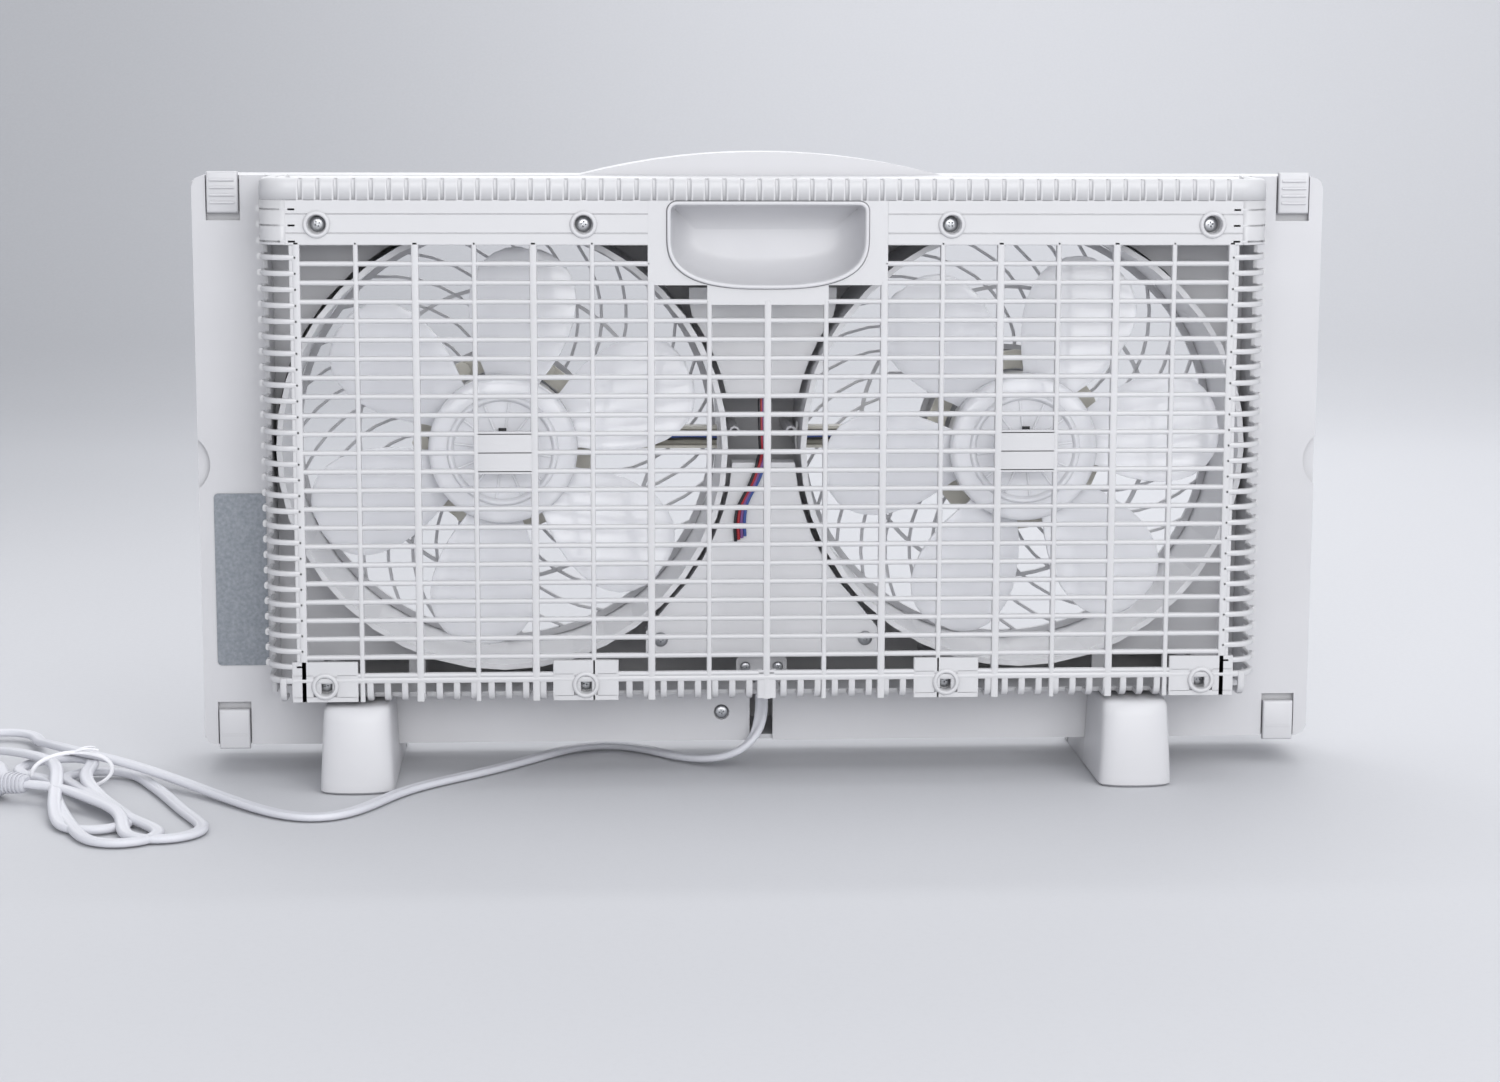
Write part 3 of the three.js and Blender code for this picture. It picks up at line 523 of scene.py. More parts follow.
def outward(points):
    """Level unit normals that point out of a guard path."""
    result = []
    for i in range(len(points)):
        ahead = points[min(i + 1, len(points) - 1)] - points[max(i - 1, 0)]
        result.append(Vector((ahead.y, -ahead.x, 0)).normalized())
    return result


RIB_PITCH, RIB_DEPTH = 0.0092, 0.0011
STRIP_LOW = 0.3145
APRON = {"wide": 0.0632, "narrow": 0.0320, "step": 0.2703, "low": 0.2600}
SCREW_X = (-0.2354, -0.0968, 0.0968, 0.2354)
SCREW_Z = (0.302, 0.057)


def groove(x):
    """How deep the moulded ribs of the top edge are cut at x."""
    near = abs((x / RIB_PITCH) % 1.0 - 0.5) * RIB_PITCH
    return RIB_DEPTH * max(0.0, min(1.0, (0.0012 - near) / 0.0006))


RIB_TURN = -0.0012


def skin(profile, step, keep=None, ribs=False):
    """The guard's outline carried up a profile of (outward offset, z), as an open sheet."""
    base = guard_path(0.0, GUARD["back"], 0.0, step)
    pairs = [(p, n) for p, n in zip(base, outward(base)) if keep is None or keep(p)]
    rings = []
    for offset, z in profile:
        ring = []
        for p, n in pairs:
            cut_in = groove(p.x) if ribs and n.y < -0.9 else 0.0
            sunk = cut_in if offset < RIB_TURN else 0.0
            ring.append(Vector((p.x, p.y, z - sunk)) + n * (offset - cut_in))
        rings.append(ring)
    return loft(rings, False, False, False)


def thicken(obj, thickness):
    mod = obj.modifiers.new("thick", "SOLIDIFY")
    mod.thickness = thickness
    mod.offset = -1
    return obj


def band_bar(x, front):
    """A straight stretch of the band, with two fine lines engraved along it."""
    outline = [(front + 0.0026, 0.2912), (front + 0.0004, 0.2912), (front, 0.2916)]
    for line in (0.2974, 0.3074):
        outline += [(front, line - 0.0004), (front + 0.0006, line - 0.0002),
                    (front + 0.0006, line + 0.0002), (front, line + 0.0004)]
    outline += [(front, STRIP_LOW + 0.0002), (front + 0.0026, STRIP_LOW + 0.0002)]
    return loft([[Vector((u, y, z)) for y, z in outline] for u in x])


def grid_bars():
    parts = []
    front = GUARD["front"]
    for k in range(17):
        x = -BAR_EDGE + BAR_PITCH * k
        half = 0.002 if k % 2 == 0 else 0.00135
        top = 0.2925
        if abs(x) < APRON["wide"]:
            top = APRON["step"] + 0.002
        if abs(x) < APRON["narrow"]:
            top = APRON["low"] + 0.002
        parts.append(block((x - half, x + half), (front, front + 0.0042), (0.0485, top), 0.0009))
    for j in range(RUNGS):
        z = RUNG_TOP - RUNG_PITCH * j
        gap = 0.0
        if z > APRON["low"]:
            gap = APRON["narrow"] - 0.001
        if z > APRON["step"]:
            gap = APRON["wide"] - 0.001
        spans = [(-BAR_EDGE, -gap), (gap, BAR_EDGE)] if gap else [(-BAR_EDGE, BAR_EDGE)]
        for start, end in spans:
            path = [Vector((start + (end - start) * t, front + 0.0019, z)) for t in (0, 0.5, 1)]
            parts.append(sweep(path, rounded(0.0034, 0.0027, 0.0011, 3), up=Vector((0, 0, 1))))
    return parts


LOUVRES, LOUVRE_TOP, LOUVRE_PITCH = 30, 0.3098, 0.00835


def side_louvres():
    """Bars that wrap round the corners of the guard, with the solid side wall behind them."""
    parts = []
    for side in (-1, 1):
        for k in range(LOUVRES):
            z = LOUVRE_TOP - LOUVRE_PITCH * k
            full = [p for p in guard_path(z, -0.026, 0.0014) if p.x * side > BAR_EDGE - 0.001]
            if side < 0:
                full = full[::-1]
            parts.append(sweep(full, rounded(0.0028, 0.0030, 0.0010, 2)))
            bump = [Vector((side * 0.2668, y, z)) for y in (-0.0415, -0.039, -0.0365)]
            parts.append(sweep(bump, rounded(0.0026, 0.0036, 0.0011, 2)))
        x = sorted((side * 0.2638, side * 0.2664))
        parts.append(block(x, (-0.028, GUARD["back"]), (0.0485, 0.296), 0.0006))
        x = sorted((side * 0.2474, side * 0.2502))
        parts.append(block(x, (GUARD["front"] + 0.0006, GUARD["front"] + 0.009), (0.0485, 0.2925), 0.0006))
    return parts


TEETH = 57


def bottom_teeth():
    """The row of slots along the bottom edge, its bars wrapping under, and the floor of the guard."""
    parts = []
    rows = ((0.0017, 0.0615), (0.0017, 0.0535), (0.0026, 0.0512), (0.0048, 0.0497), (0.0150, 0.0494))
    for k in range(TEETH):
        x = (k - (TEETH - 1) / 2) * RIB_PITCH
        path = [Vector((x, GUARD["front"] + depth, z)) for depth, z in rows]
        parts.append(sweep(path, rounded(0.0036, 0.0028, 0.0008, 2), up=Vector((0, -1, 0))))
    rail = guard_path(0.0600, -0.026, 0.0014, 0.01)
    parts.append(sweep(rail, rounded(0.0030, 0.0034, 0.0011, 2)))
    sill = guard_path(0.0496, -0.0045, 0.0160, 0.02)
    parts.append(sweep(sill, rounded(0.0040, 0.0026, 0.0008, 2)))
    for x in ((-0.2500, -0.0085), (0.0085, 0.2500)):
        parts.append(block(x, (-0.041, GUARD["back"]), (0.0482, 0.0506), 0.0006))
    parts.append(block((-0.0090, 0.0090), (-0.041, -0.0225), (0.0482, 0.0506), 0.0006))
    return parts


def guard_pads():
    """Solid panels moulded into the grid: hub pads, screw pads and the centre tab."""
    front = GUARD["front"]
    parts = []
    pad_y = (front + 0.0002, front + 0.004)
    for x in (-0.1386, 0.1386):
        parts.append(block((x - 0.0155, x + 0.0155), pad_y, (0.1708, 0.1931), 0.0008))
    for x in SCREW_X:
        for z in ((0.0486, 0.0512), (0.0628, 0.0702)):
            parts.append(block((x - 0.0175, x + 0.0175), (front, front + 0.0030), z, 0.0008, 3))
        for e in (-1, 1):
            u = sorted((x + e * 0.0062, x + e * 0.0175))
            parts.append(block(u, (front, front + 0.0030), (0.0510, 0.0630), 0.0003, 2))
    parts.append(block((-0.0052, 0.0052), pad_y, (0.0488, 0.0642), 0.0012, 3))
    boss = [
        (0.0072, -0.0466), (0.0072, front - 0.0004), (0.0068, front - 0.0011), (0.0060, front - 0.0014),
        (0.0053, front - 0.0012), (0.0048, front - 0.0004), (0.0047, -0.0484), (0.0021, -0.0484),
        (0.0021, -0.0466), (0.0072, -0.0466),
    ]
    parts += [lathe(boss, 36, (x, z)) for x in SCREW_X for z in SCREW_Z]
    return parts


CUP = {"half": 0.0535, "top": 0.3145, "shoulder": 0.296, "bottom": 0.268, "round": 0.0055, "power": 0.72}


def cup_outline(grow, steps=36):
    """A flat-topped outline with small upper corners and a full, rounded bowl below."""
    half, sag = CUP["half"] + grow, CUP["shoulder"] - CUP["bottom"] + grow
    points = []
    for k in range(steps + 1):
        a = math.pi * (1 + k / steps)
        c, s = math.cos(a), math.sin(a)
        x = math.copysign(half * abs(c) ** CUP["power"], c)
        points.append((x, CUP["shoulder"] - sag * abs(s) ** CUP["power"]))
    r = CUP["round"]
    for cx, start in ((CUP["half"] - r, 0), (r - CUP["half"], 90)):
        for k in range(7):
            a = math.radians(start + 90 * k / 6)
            points.append((cx + (r + grow) * math.cos(a), CUP["top"] - r + (r + grow) * math.sin(a)))
    return points


def ring_at(outline, y):
    return [Vector((x, y, z)) for x, z in outline]


def cut(obj, tool):
    mod = obj.modifiers.new("cut", "BOOLEAN")
    mod.operation = "DIFFERENCE"
    mod.solver = "EXACT"
    mod.object = tool
    freeze(obj)
    bpy.data.objects.remove(tool)
    return obj


def hole_tool(x, z, r, depth):
    front = GUARD["front"]
    return merge("cutter", [lathe([(r, front - 0.01), (r, front + depth)], 32, (x, z), True)], "white", 0)


def make_guard():
    front = GUARD["front"]
    flat_edge = GUARD["x"] - GUARD["round"]
    strip = [
        (0, STRIP_LOW), (0, 0.3222), (-0.0003, 0.3240), (-0.0010, 0.3252), (-0.0022, 0.3259),
        (-0.0034, 0.326), (-0.0060, 0.326), (-0.0062, 0.326), (-0.0085, 0.326),
    ]
    top = thicken(merge("guard_top_edge", [skin(strip, 0.00046, None, True)], "guard", 35), 0.0020)
    finish_piece(top, "base", "white")
    plate = block((-0.2600, 0.2600), (front + 0.0078, -0.0045), (0.3236, 0.3258), 0.006, 4)
    lid = merge("guard_lid", [plate], "guard", 35)
    finish_piece(lid, "base", "white")
    wrap = [(-0.0003, 0.2912), (0, 0.2916), (0, STRIP_LOW + 0.0002)]
    corners = [skin(wrap, 0.002, lambda p, e=e: p.x * e > flat_edge - 0.0001) for e in (-1, 1)]
    sides = thicken(merge("guard_band_corners", corners, "guard", 35), 0.0024)
    finish_piece(sides, "base", "white")
    made = [top, lid, sides]
    for name, e in SIDES:
        span = sorted((e * APRON["wide"], e * flat_edge))
        bar = merge(f"guard_band_{name}", [band_bar(span, front)], "guard", 35)
        for x in SCREW_X:
            if x * e > 0:
                cut(bar, hole_tool(x, SCREW_Z[0], 0.0048, 0.01))
        made.append(finish_piece(bar, "base", "white"))
    w, n, step, low = APRON["wide"], APRON["narrow"], APRON["step"], APRON["low"]
    outline = [
        (-w, step), (-n, step), (-n, low), (n, low), (n, step), (w, step), (w, STRIP_LOW), (-w, STRIP_LOW),
    ]
    panel = loft([ring_at(outline, front + 0.0002), ring_at(outline, front + 0.0028)])
    apron = merge("guard_apron", [panel], "guard", 35)
    hole = cup_outline(0.0)
    plug_shape = loft([ring_at(hole, front - 0.01), ring_at(hole, front + 0.02)])
    cut(apron, merge("cutter", [plug_shape], "white", 0))
    made.append(finish_piece(apron, "base", "white"))
    parts = grid_bars() + side_louvres() + bottom_teeth() + guard_pads()
    grid = merge("guard_grid", parts, "guard", 40)
    made.append(finish_piece(grid, "base", "white", "rear_guard"))
    return made


def make_cup():
    """A smooth finger bowl with a fine rolled lip."""
    front = GUARD["front"]
    rows = [
        (-0.0004, front - 0.0009), (-0.0008, front - 0.0013),
        (-0.0018, front - 0.0013), (-0.0024, front - 0.0007),
    ]
    depth = 0.031
    for k in range(1, 11):
        a = math.radians(90 * k / 10)
        rows.append((-0.0024 - 0.014 * (1 - math.cos(a)), front - 0.0007 + depth * math.sin(a)))
    rings = [ring_at(cup_outline(-0.0004), front + 0.006)]
    rings += [ring_at(cup_outline(inset), y) for inset, y in rows]
    obj = merge("finger_cup", [loft(rings, True, False, True)], "white", 50)
    return finish_piece(obj, "base", "white", "handle_cup")


# ---------------------------------------------------------------- propellers, motors, grilles
BLADE_ROWS = [
    (36, 16), (42, 18), (50, 22.5), (60, 27), (70, 30), (80, 31.5),
    (88, 31), (95, 28.8), (100.5, 25), (104.5, 19.5), (106.8, 13), (107.7, 6),
]
PHASE = {"left": 22, "right": 7}
Y_UP = Vector((0, 1, 0))


def polar(centre, r, a, y):
    """A point at radius r and angle a round an axis along Y."""
    return Vector((centre[0] + r * math.cos(a), y, centre[1] + r * math.sin(a)))


def blade(centre, degrees):
    """A petal from rows of radius and half width in mm, its pitch falling towards the tip."""
    across_steps = 14
    rows = []
    for r, half in BLADE_ROWS:
        pitch = math.radians(30 - 14 * (r - 40) / 67.7)
        row = []
        for c in range(across_steps + 1):
            s = 2 * c / across_steps - 1
            lift = 1.6 * (1 - s * s)
            a = math.radians(degrees) + s * half * math.cos(pitch) / r
            y = -22 + s * half * math.sin(pitch) * 0.62 - lift
            row.append(polar(centre, r * MM, a, y * MM))
        rows.append(row)
    return loft(rows, False, False, False)


def make_fan(name, side):
    centre, phase = (side * FAN_X, FAN_Z), PHASE[name]
    blades = merge(f"fan_{name}_blades", [blade(centre, phase + 60 * k) for k in range(6)], "blade", 60)
    thick = blades.modifiers.new("thick", "SOLIDIFY")
    thick.thickness = 0.0019
    thick.offset = 0
    bevel(blades, 0.0005, 2, 50)
    finish_piece(blades, f"fan_{name}", "blade")
    y0 = -0.034
    hub = [
        (0.0026, y0 + 0.003), (0.0026, y0 - 0.0014), (0.0055, y0 - 0.0016), (0.0068, y0 - 0.0008),
        (0.0072, y0), (0.0262, y0), (0.0268, y0 - 0.0014), (0.0276, y0 - 0.0020), (0.0288, y0 - 0.0020),
        (0.0296, y0 - 0.0014), (0.0300, y0 - 0.0002), (0.0365, y0), (0.0385, y0 + 0.0006),
        (0.0396, y0 + 0.0018), (0.0400, y0 + 0.0036), (0.0400, y0 + 0.0212), (0.0396, y0 + 0.0218),
        (0.0380, y0 + 0.0218), (0.0376, y0 + 0.0212),
        (0.0376, y0 + 0.0040), (0.0060, y0 + 0.0036), (0.0060, y0 + 0.0250), (0.0028, y0 + 0.0250),
    ]
    parts = [lathe(hub, 72, centre)]
    for k in range(12):
        a = math.radians(30 * k + phase)
        start, end = polar(centre, 0.008, a, y0 - 0.0002), polar(centre, 0.026, a, y0 - 0.0002)
        rib = rounded(0.0012, 0.0010, 0.0004, 2)
        parts.append(sweep([start, start.lerp(end, 0.5), end], rib, up=Y_UP))
    obj = merge(f"fan_{name}_hub", parts, "blade", 35)
    finish_piece(obj, f"fan_{name}", "blade", f"fan_{name}")


def make_clip(name, side):
    """The sprung wire clip that holds the propeller on its shaft."""
    cx, cz = side * FAN_X, FAN_Z
    points = [Vector((cx + 0.0016, -0.0375, cz - 0.0122)), Vector((cx + 0.0019, -0.0374, cz - 0.0075))]
    points += [polar((cx, cz), 0.0042, math.radians(-60 + 300 * k / 24), -0.0373) for k in range(25)]
    points += [Vector((cx - 0.0019, -0.0374, cz - 0.0075)), Vector((cx - 0.0016, -0.0375, cz - 0.0122))]
    section = [(0.0007 * math.cos(t), 0.0007 * math.sin(t)) for t in around(8)]
    parts = [sweep(smooth_path(points, 60), section)]
    parts.append(block((cx - 0.0021, cx + 0.0021), (-0.0381, -0.0369), (cz + 0.0050, cz + 0.0123), 0.0005))
    collar = [(0.0026, -0.0380), (0.0054, -0.0380), (0.0057, -0.0376), (0.0057, -0.0368), (0.0026, -0.0368)]
    parts.append(lathe(collar, 32, (cx, cz)))
    obj = merge(f"spring_clip_{name}", parts, "black", 50)
    finish_piece(obj, f"fan_{name}", "black", f"clip_{name}")


GRILLE_RIM = [
    (0.1138, 0.0416), (0.1138, 0.0452), (0.1146, 0.0460), (0.1166, 0.0460),
    (0.1174, 0.0452), (0.1174, 0.0416), (0.1138, 0.0416),
]
GRILLE_RING = [
    (0.0812, 0.0426), (0.0812, 0.0450), (0.0818, 0.0455), (0.0828, 0.0455),
    (0.0834, 0.0450), (0.0834, 0.0426), (0.0812, 0.0426),
]
GRILLE_HUB = [
    (0.0, 0.0478), (0.030, 0.0478), (0.0455, 0.0472), (0.0490, 0.0462), (0.0500, 0.0440),
    (0.0500, 0.0416), (0.0470, 0.0416), (0.0465, 0.0445), (0.0, 0.0450),
]
VANES, VANE_SWIRL = 30, 34
VANE_INNER_R, VANE_OUTER_R, VANE_Y = 0.0485, 0.1145, 0.0441


def make_grille(name, side):
    """Room-side grille: swirling vanes between a rim, a middle ring and the hub plate."""
    centre = (side * FAN_X, FAN_Z)
    parts = [lathe(GRILLE_RIM, 96, centre), lathe(GRILLE_RING, 80, centre), lathe(GRILLE_HUB, 64, centre)]
    for k in range(VANES):
        points = []
        for i in range(9):
            t = i / 8
            a = math.radians(360 / VANES * k + VANE_SWIRL * t ** 1.4)
            r = VANE_INNER_R + (VANE_OUTER_R - VANE_INNER_R) * t
            points.append(polar(centre, r, a, VANE_Y))
        parts.append(sweep(points, rounded(0.0018, 0.0030, 0.0007, 2), up=Y_UP))
    obj = merge(f"swirl_grille_{name}", parts, "white", 40)
    finish_piece(obj, "base", "white", f"front_grille_{name}")


# ---------------------------------------------------------------- feet, locks, knobs, screws
FOOT_X = {"left": -0.219, "right": 0.2}


def foot_ring(cx, half, y_front, y_back, z, bulge, steps=14):
    """A D-shaped level ring, bulging towards y_front."""
    points = []
    for k in range(steps + 1):
        t = math.pi * k / steps
        x = -half * math.cos(t)
        y = y_front + math.copysign(bulge, y_back - y_front) * (1 - math.sin(t) ** 0.7)
        points.append(Vector((cx + x, y, z)))
    points.append(Vector((cx + half, y_back, z)))
    points.append(Vector((cx - half, y_back, z)))
    return points


UPRIGHT_ROWS = (
    (0.0, 0.0012), (0.0012, 0.0), (0.012, 0.0004), (0.026, 0.0016),
    (0.038, 0.0034), (0.0436, 0.0048), (0.0453, 0.0064), (0.046, 0.0090),
)
TOE_ROWS = (
    (0.0, 0.0012), (0.0012, 0.0), (0.016, 0.0006), (0.028, 0.0016), (0.0308, 0.0030), (0.0318, 0.0060),
)
FOOT_REACH, FOOT_BULGE = 0.0658, 0.009


def foot_half(z):
    """Half the foot's width at a height: tapered, with an edge broken at the floor."""
    return 0.0198 - 0.0022 * z / 0.046 - (0.0012 if z == 0 else 0)


def make_foot(name):
    """An upright under the guard and a toe on the room side, joined by a low web."""
    cx = FOOT_X[name]
    upright, toe = [], []
    for z, lean in UPRIGHT_ROWS:
        half = foot_half(z) - max(0.0, z - 0.0436) * 0.5
        upright.append(foot_ring(cx, half, lean - FOOT_REACH, -0.0077, z, FOOT_BULGE))
    for z, lean in TOE_ROWS:
        toe.append(foot_ring(cx, foot_half(z), FOOT_REACH - lean, 0.0467, z, FOOT_BULGE))
    web = block((cx - 0.0192, cx + 0.0192), (-0.009, 0.0475), (0.0, 0.0146), 0.0008)
    parts = [loft(upright), loft(toe), web]
    obj = merge(f"moulded_foot_{name}", parts, "white", 45)
    finish_piece(obj, "base", "white", f"foot_{name}")


def make_lock(name, top):
    """A clip with softened ends: finger ribs on a top one, a fine step on a bottom one."""
    node = f"lock_{'top' if top else 'bottom'}_{name}"
    low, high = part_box(node)
    x = (low[0] + 0.0002, high[0] - 0.0002)
    foot, head = low[2], high[2]
    rows = ((0.0010, foot), (0.0003, foot + 0.0004), (0.0, foot + 0.0012),
            (0.0, head - 0.0012), (0.0003, head - 0.0004), (0.0010, head))
    parts = [loft([[Vector((cx, cy, z)) for cx, cy in rounded_at(x, (-0.0092 + inset, -0.0042), 0.0010)]
                   for inset, z in rows])]
    if top:
        for k in range(4):
            z = foot + 0.0055 + 0.004 * k
            path = [Vector((x[0] + 0.0018, -0.0093, z)), Vector(((x[0] + x[1]) / 2, -0.0095, z)),
                    Vector((x[1] - 0.0018, -0.0093, z))]
            parts.append(sweep(path, rounded(0.0014, 0.0014, 0.0006, 3)))
    else:
        step = (foot + 0.0075, foot + 0.0083)
        parts.append(block((x[0] + 0.0016, x[1] - 0.0016), (-0.0095, -0.009), step, 0.0002))
    obj = merge(f"{node}_slider", parts, "white", 45)
    finish_piece(obj, node, "white", node)


def rounded_at(x, y, r):
    cx, cy = (x[0] + x[1]) / 2, (y[0] + y[1]) / 2
    return [(cx + u, cy + v) for u, v in rounded(x[1] - x[0], y[1] - y[0], r, 3)]


def make_knob(node):
    low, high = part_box(node)
    cx, cz = (low[0] + high[0]) / 2, (low[2] + high[2]) / 2
    face = 0.0551
    skirt = [
        (0.0, face), (0.0115, face), (0.0128, face - 0.0005), (0.0136, face - 0.0016), (0.0148, 0.0496),
        (0.0149, 0.0490), (0.0138, 0.0489), (0.0034, 0.0489), (0.0034, 0.0404), (0.0, 0.0404),
    ]
    parts = [lathe(skirt, 64, (cx, cz))]
    grip = []
    for y, half, length in ((0.054, 0.0030, 0.0128), (0.0575, 0.0025, 0.0126), (0.0600, 0.0022, 0.0120),
                            (0.0608, 0.0016, 0.0112)):
        grip.append([Vector((cx + u, y, cz + v)) for u, v in rounded(half * 2, length * 2, half * 0.9, 5)])
    parts.append(loft(grip))
    for a in around(28):
        start, end = polar((cx, cz), 0.0145, a, 0.0498), polar((cx, cz), 0.0137, a, 0.0532)
        parts.append(sweep([start, start.lerp(end, 0.5), end], rounded(0.0009, 0.0009, 0.0004, 2)))
    parts.append(block((cx - 0.0005, cx + 0.0005), (0.0604, 0.0610), (cz + 0.004, cz + 0.011), 0.0002))
    obj = merge(f"{node}_moulding", parts, "white", 40)
    finish_piece(obj, node, "white", node)


SCREW_HEAD_R = 0.0039


def screw_mesh():
    """A zinc pan head with a cross recess, at the origin, its head towards -Y."""
    dome = [
        (0.0, 0.0), (0.0012, 0.00002), (0.0024, 0.00018), (0.0033, 0.00052), (0.0038, 0.00100),
        (SCREW_HEAD_R, 0.0015), (0.0036, 0.0018), (0.0014, 0.0018), (0.0014, 0.0052), (0.0, 0.0052),
    ]
    obj = merge("screw_master", [lathe(dome, 32, (0, 0))], "steel", 35)
    for turn in (0, 90):
        rings = []
        for y, half, thin in ((-0.001, 0.0021, 0.00045), (0.0012, 0.0008, 0.0003)):
            corners = ((-half, -thin), (half, -thin), (half, thin), (-half, thin))
            rings.append(ring_at(corners, y))
        tool = merge("cutter", [loft(rings)], "steel", 0)
        tool.data.transform(Matrix.Rotation(math.radians(turn + 20), 4, "Y"))
        cut(obj, tool)
    mesh = obj.data
    mesh.shade_smooth()
    mesh.set_sharp_from_angle(angle=math.radians(35))
    bpy.data.objects.remove(obj)
    return mesh


def make_screws():
    mesh = screw_mesh()
    names = [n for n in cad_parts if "screw" in n]
    for i, node in enumerate(sorted(names)):
        low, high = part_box(node)
        scale = (high[0] - low[0]) / 2 / SCREW_HEAD_R
        obj = bpy.data.objects.new(f"{node}_head", mesh)
        bpy.context.scene.collection.objects.link(obj)
        turn = Matrix.Rotation(math.radians(37 * i), 4, "Y")
        at = Vector(((low[0] + high[0]) / 2, low[1], (low[2] + high[2]) / 2))
        obj.matrix_world = Matrix.Translation(at) @ turn @ Matrix.Scale(scale, 4)
        finish_piece(obj, "base", "steel", node)


# ---------------------------------------------------------------- wiring
def wire(name, points, colour, r=0.0009):
    section = [(r * math.cos(t), r * math.sin(t)) for t in around(10)]
    path = smooth_path([Vector(p) * MM for p in points], 48)
    obj = merge(name, [sweep(path, section)], f"wire_{colour}", 60)
    return finish_piece(obj, "base", "wire")


RIBBON = [
    (0, -6, 209), (0, -7, 203), (0, -9.5, 194), (0, -12.5, 184), (0, -17, 177.5), (-0.5, -21.8, 174.4),
    (-2, -24.2, 170), (-6, -24.4, 160), (-11.5, -24.2, 149), (-13, -24.0, 139), (-12.6, -22.9, 130.6),
]


def make_wiring():
    """A four-wire ribbon that comes down over the cover's face, and three leads into each duct."""
    for i, colour in enumerate(("black", "red", "purple", "blue")):
        shift = (i - 1.5) * 1.9
        points = [(x + shift * (0.55 if k < 5 else 0.9), y, z + (0.0 if k < 6 else shift * 0.5))
                  for k, (x, y, z) in enumerate(RIBBON)]
        wire(f"ribbon_wire_{colour}", points, colour)
    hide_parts("wire_ribbon")
    for name, side in SIDES:
        for i, colour in enumerate(("black", "blue", "red")):
            z = 181.4 + i * 1.1
            points = [(side * 24, 9.2, z), (side * 40, 9.0 + 0.4 * i, z + 0.4), (side * 58, 9.4, z - 0.2),
                      (side * 74, 9.1, z + 0.3), (side * 86, 9.4, z)]
            lead = wire(f"lead_wire_{colour}_{name}", points, colour, 0.0007)
            if i == 0:
                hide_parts(f"motor_lead_{name}")


# ---------------------------------------------------------------- CAD nodes that stay
KEPT = {
    "white": ["front_housing", "cord_clamp", "control_panel"],
    # painted light: the inside parts take the brighter copy of the white plastic against the shade they sit
    # in
    "inner": ["duct_left", "duct_right", "control_cover", "switch_shield", "speed_switch", "mode_switch"],
    "flange": ["rear_cover_left", "rear_cover_right", "extender_left", "extender_right"],
    # painted light and shade: the motor plates take the beige tint for the dim light through the plastic
    "beige": ["motor_plate_left", "motor_plate_right"],
    "motor": ["motor_left", "motor_right"],
    "steel": ["shaft_left", "shaft_right"],
    "brass": ["plug_pin_a", "plug_pin_b"],
    "label": ["rating_label"],
    "lens": ["pilot_lens"],
}
SOFT_EDGES = {
    "front_housing": 0.0014, "control_cover": 0.0009, "cord_clamp": 0.0005, "switch_shield": 0.0005,
    "control_panel": 0.0004,
}
SOFT_PAIRS = {
    "rear_cover": 0.0006, "duct": 0.0008, "extender": 0.0006, "motor_plate": 0.0003, "motor": 0.0006,
}
SOFT_EDGES |= {f"{part}_{name}": width for part, width in SOFT_PAIRS.items() for name, _ in SIDES}


def dress_cad():
    for material, names in KEPT.items():
        for name in names:
            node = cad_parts[name]
            node.data.materials.clear()
            node.data.materials.append(MATERIALS[material])
            if name in SOFT_EDGES:
                bevel(node, SOFT_EDGES[name], 2, 40)


# ---------------------------------------------------------------- stage and light
def add_ramp(nodes, links, source, span, values):
    """A smooth change of a coordinate over a span into a span of values."""
    node = nodes.new("ShaderNodeMapRange")
    node.interpolation_type = "SMOOTHSTEP"
    node.inputs["From Min"].default_value, node.inputs["From Max"].default_value = span
    node.inputs["To Min"].default_value, node.inputs["To Max"].default_value = values
    links.new(source, node.inputs["Value"])
    return node.outputs["Result"]


def paper_material():
    """Matt backdrop paper with a faint fibre and painted shade: darker towards the back, the more so
    towards the left.
    """
    mat, nodes, links, bsdf = new_material("paper_sweep")
    coords = nodes.new("ShaderNodeTexCoord")
    axes = nodes.new("ShaderNodeSeparateXYZ")
    links.new(coords.outputs["Object"], axes.inputs["Vector"])
    # Painted shade: a ramp across X times a ramp along Y darkens the far paper, most on the left, for light
    # that falls off across the backdrop.
    across = add_ramp(nodes, links, axes.outputs["X"], (-0.95, 0.6), (1.0, 0.3))
    fibre = add_noise(nodes, links, 300.0, 5.0)
    speck = add_range(nodes, links, fibre.outputs["Fac"], -0.03, 0.03)
    depth = add_ramp(nodes, links, axes.outputs["Y"], (0.1, 1.3), (0.0, 0.8))
    shade = nodes.new("ShaderNodeMath")
    shade.operation = "MULTIPLY"
    links.new(across, shade.inputs[0])
    links.new(depth, shade.inputs[1])
    total = nodes.new("ShaderNodeMath")
    links.new(shade.outputs["Value"], total.inputs[0])
    links.new(speck, total.inputs[1])
    mix = nodes.new("ShaderNodeMix")
    mix.data_type = "RGBA"
    mix.inputs["A"].default_value = (0.56, 0.566, 0.59, 1)
    mix.inputs["B"].default_value = (0.30, 0.306, 0.325, 1)
    links.new(total.outputs["Value"], mix.inputs["Factor"])
    links.new(mix.outputs["Result"], bsdf.inputs["Base Color"])
    bsdf.inputs["Roughness"].default_value = 0.75
    bump = nodes.new("ShaderNodeBump")
    bump.inputs["Strength"].default_value = 0.15
    bump.inputs["Distance"].default_value = 0.0002
    links.new(fibre.outputs["Fac"], bump.inputs["Height"])
    links.new(bump.outputs["Normal"], bsdf.inputs["Normal"])
    return mat


SWEEP_R = 1.6


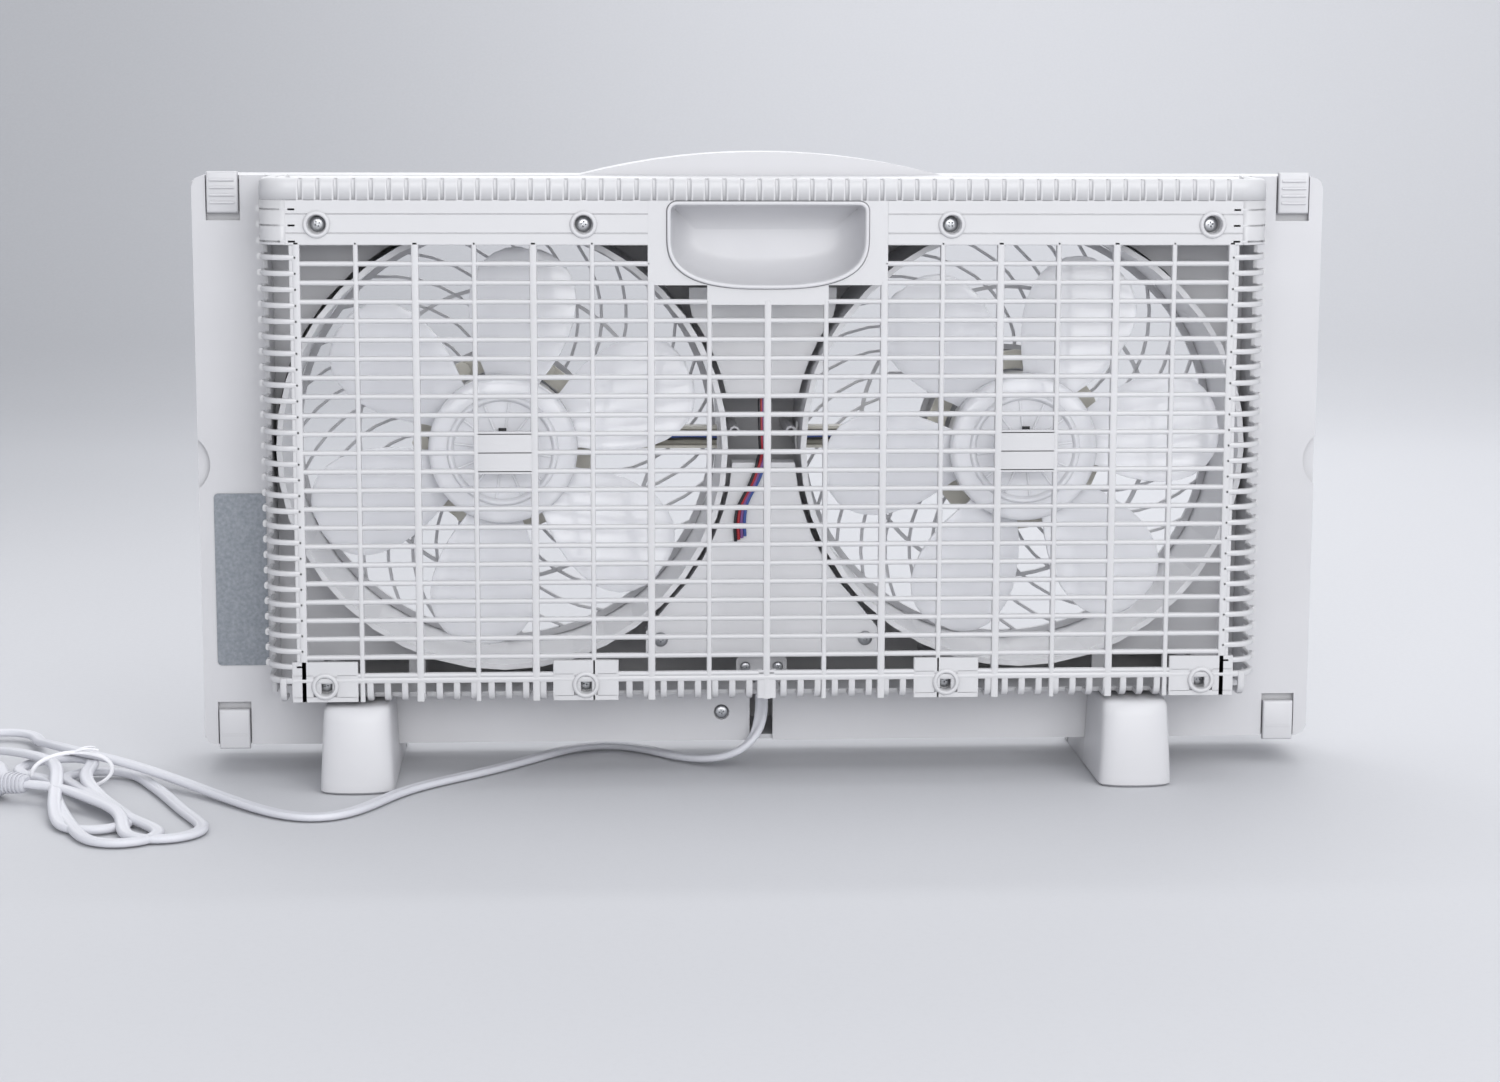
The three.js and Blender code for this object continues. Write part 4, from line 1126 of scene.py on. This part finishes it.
def make_stage():
    """A paper sweep: floor, a quarter round and a wall."""
    turns = [math.radians(a) for a in range(6, 91, 6)]
    profile = [(-4.0, 0.0), (SWEEP_R, 0.0)]
    profile += [(SWEEP_R + SWEEP_R * math.sin(a), SWEEP_R - SWEEP_R * math.cos(a)) for a in turns]
    profile += [(2 * SWEEP_R, 6.0)]
    rows = [[Vector((x, y, z - 0.0003)) for x in (-6, 6)] for y, z in profile]
    MATERIALS["paper"] = paper_material()
    obj = merge("paper_sweep", [loft(rows, False, False, False)], "paper", 60)


LIGHTS = [
    ("front", (0.3, -2.7, 1.05), (0.0, 0.0, 0.15), (2.8, 1.6), 52),
    ("key", (1.1, -1.3, 1.8), (0.0, 0.0, 0.15), (1.4, 1.4), 10),
    ("top", (0.1, 0.3, 2.2), (0.0, 0.1, 0.0), (2.0, 1.4), 12),
    ("back", (0.0, 1.5, 1.0), (0.0, 0.0, 0.15), (2.4, 1.0), 10),
    ("wall", (0.2, 1.7, 3.0), (0.2, 3.2, 1.4), (3.0, 0.8), 60),
]


def area_light(name, at, aim, size, watts):
    data = bpy.data.lights.new(name, "AREA")
    data.shape = "RECTANGLE"
    data.size, data.size_y = size
    data.energy = watts
    obj = bpy.data.objects.new(name, data)
    bpy.context.scene.collection.objects.link(obj)
    obj.location = at
    obj.rotation_euler = (Vector(aim) - Vector(at)).to_track_quat("-Z", "Y").to_euler()


def make_lights():
    world = bpy.data.worlds.new("studio")
    bpy.context.scene.world = world
    world.use_nodes = True
    sky = world.node_tree.nodes["Background"]
    sky.inputs["Color"].default_value = (0.93, 0.95, 1.0, 1)
    sky.inputs["Strength"].default_value = 0.62
    for light in LIGHTS:
        area_light(*light)
    scene = bpy.context.scene
    scene.view_settings.view_transform = "Standard"
    scene.view_settings.look = "None"


make_guard()
make_cup()
for _side_name, _side in SIDES:
    make_fan(_side_name, _side)
    make_clip(_side_name, _side)
    make_grille(_side_name, _side)
    make_foot(_side_name)
    make_lock(_side_name, True)
    make_lock(_side_name, False)
for _node in ("speed_knob", "mode_knob"):
    make_knob(_node)
make_screws()
make_wiring()
dress_cad()
make_stage()
make_lights()
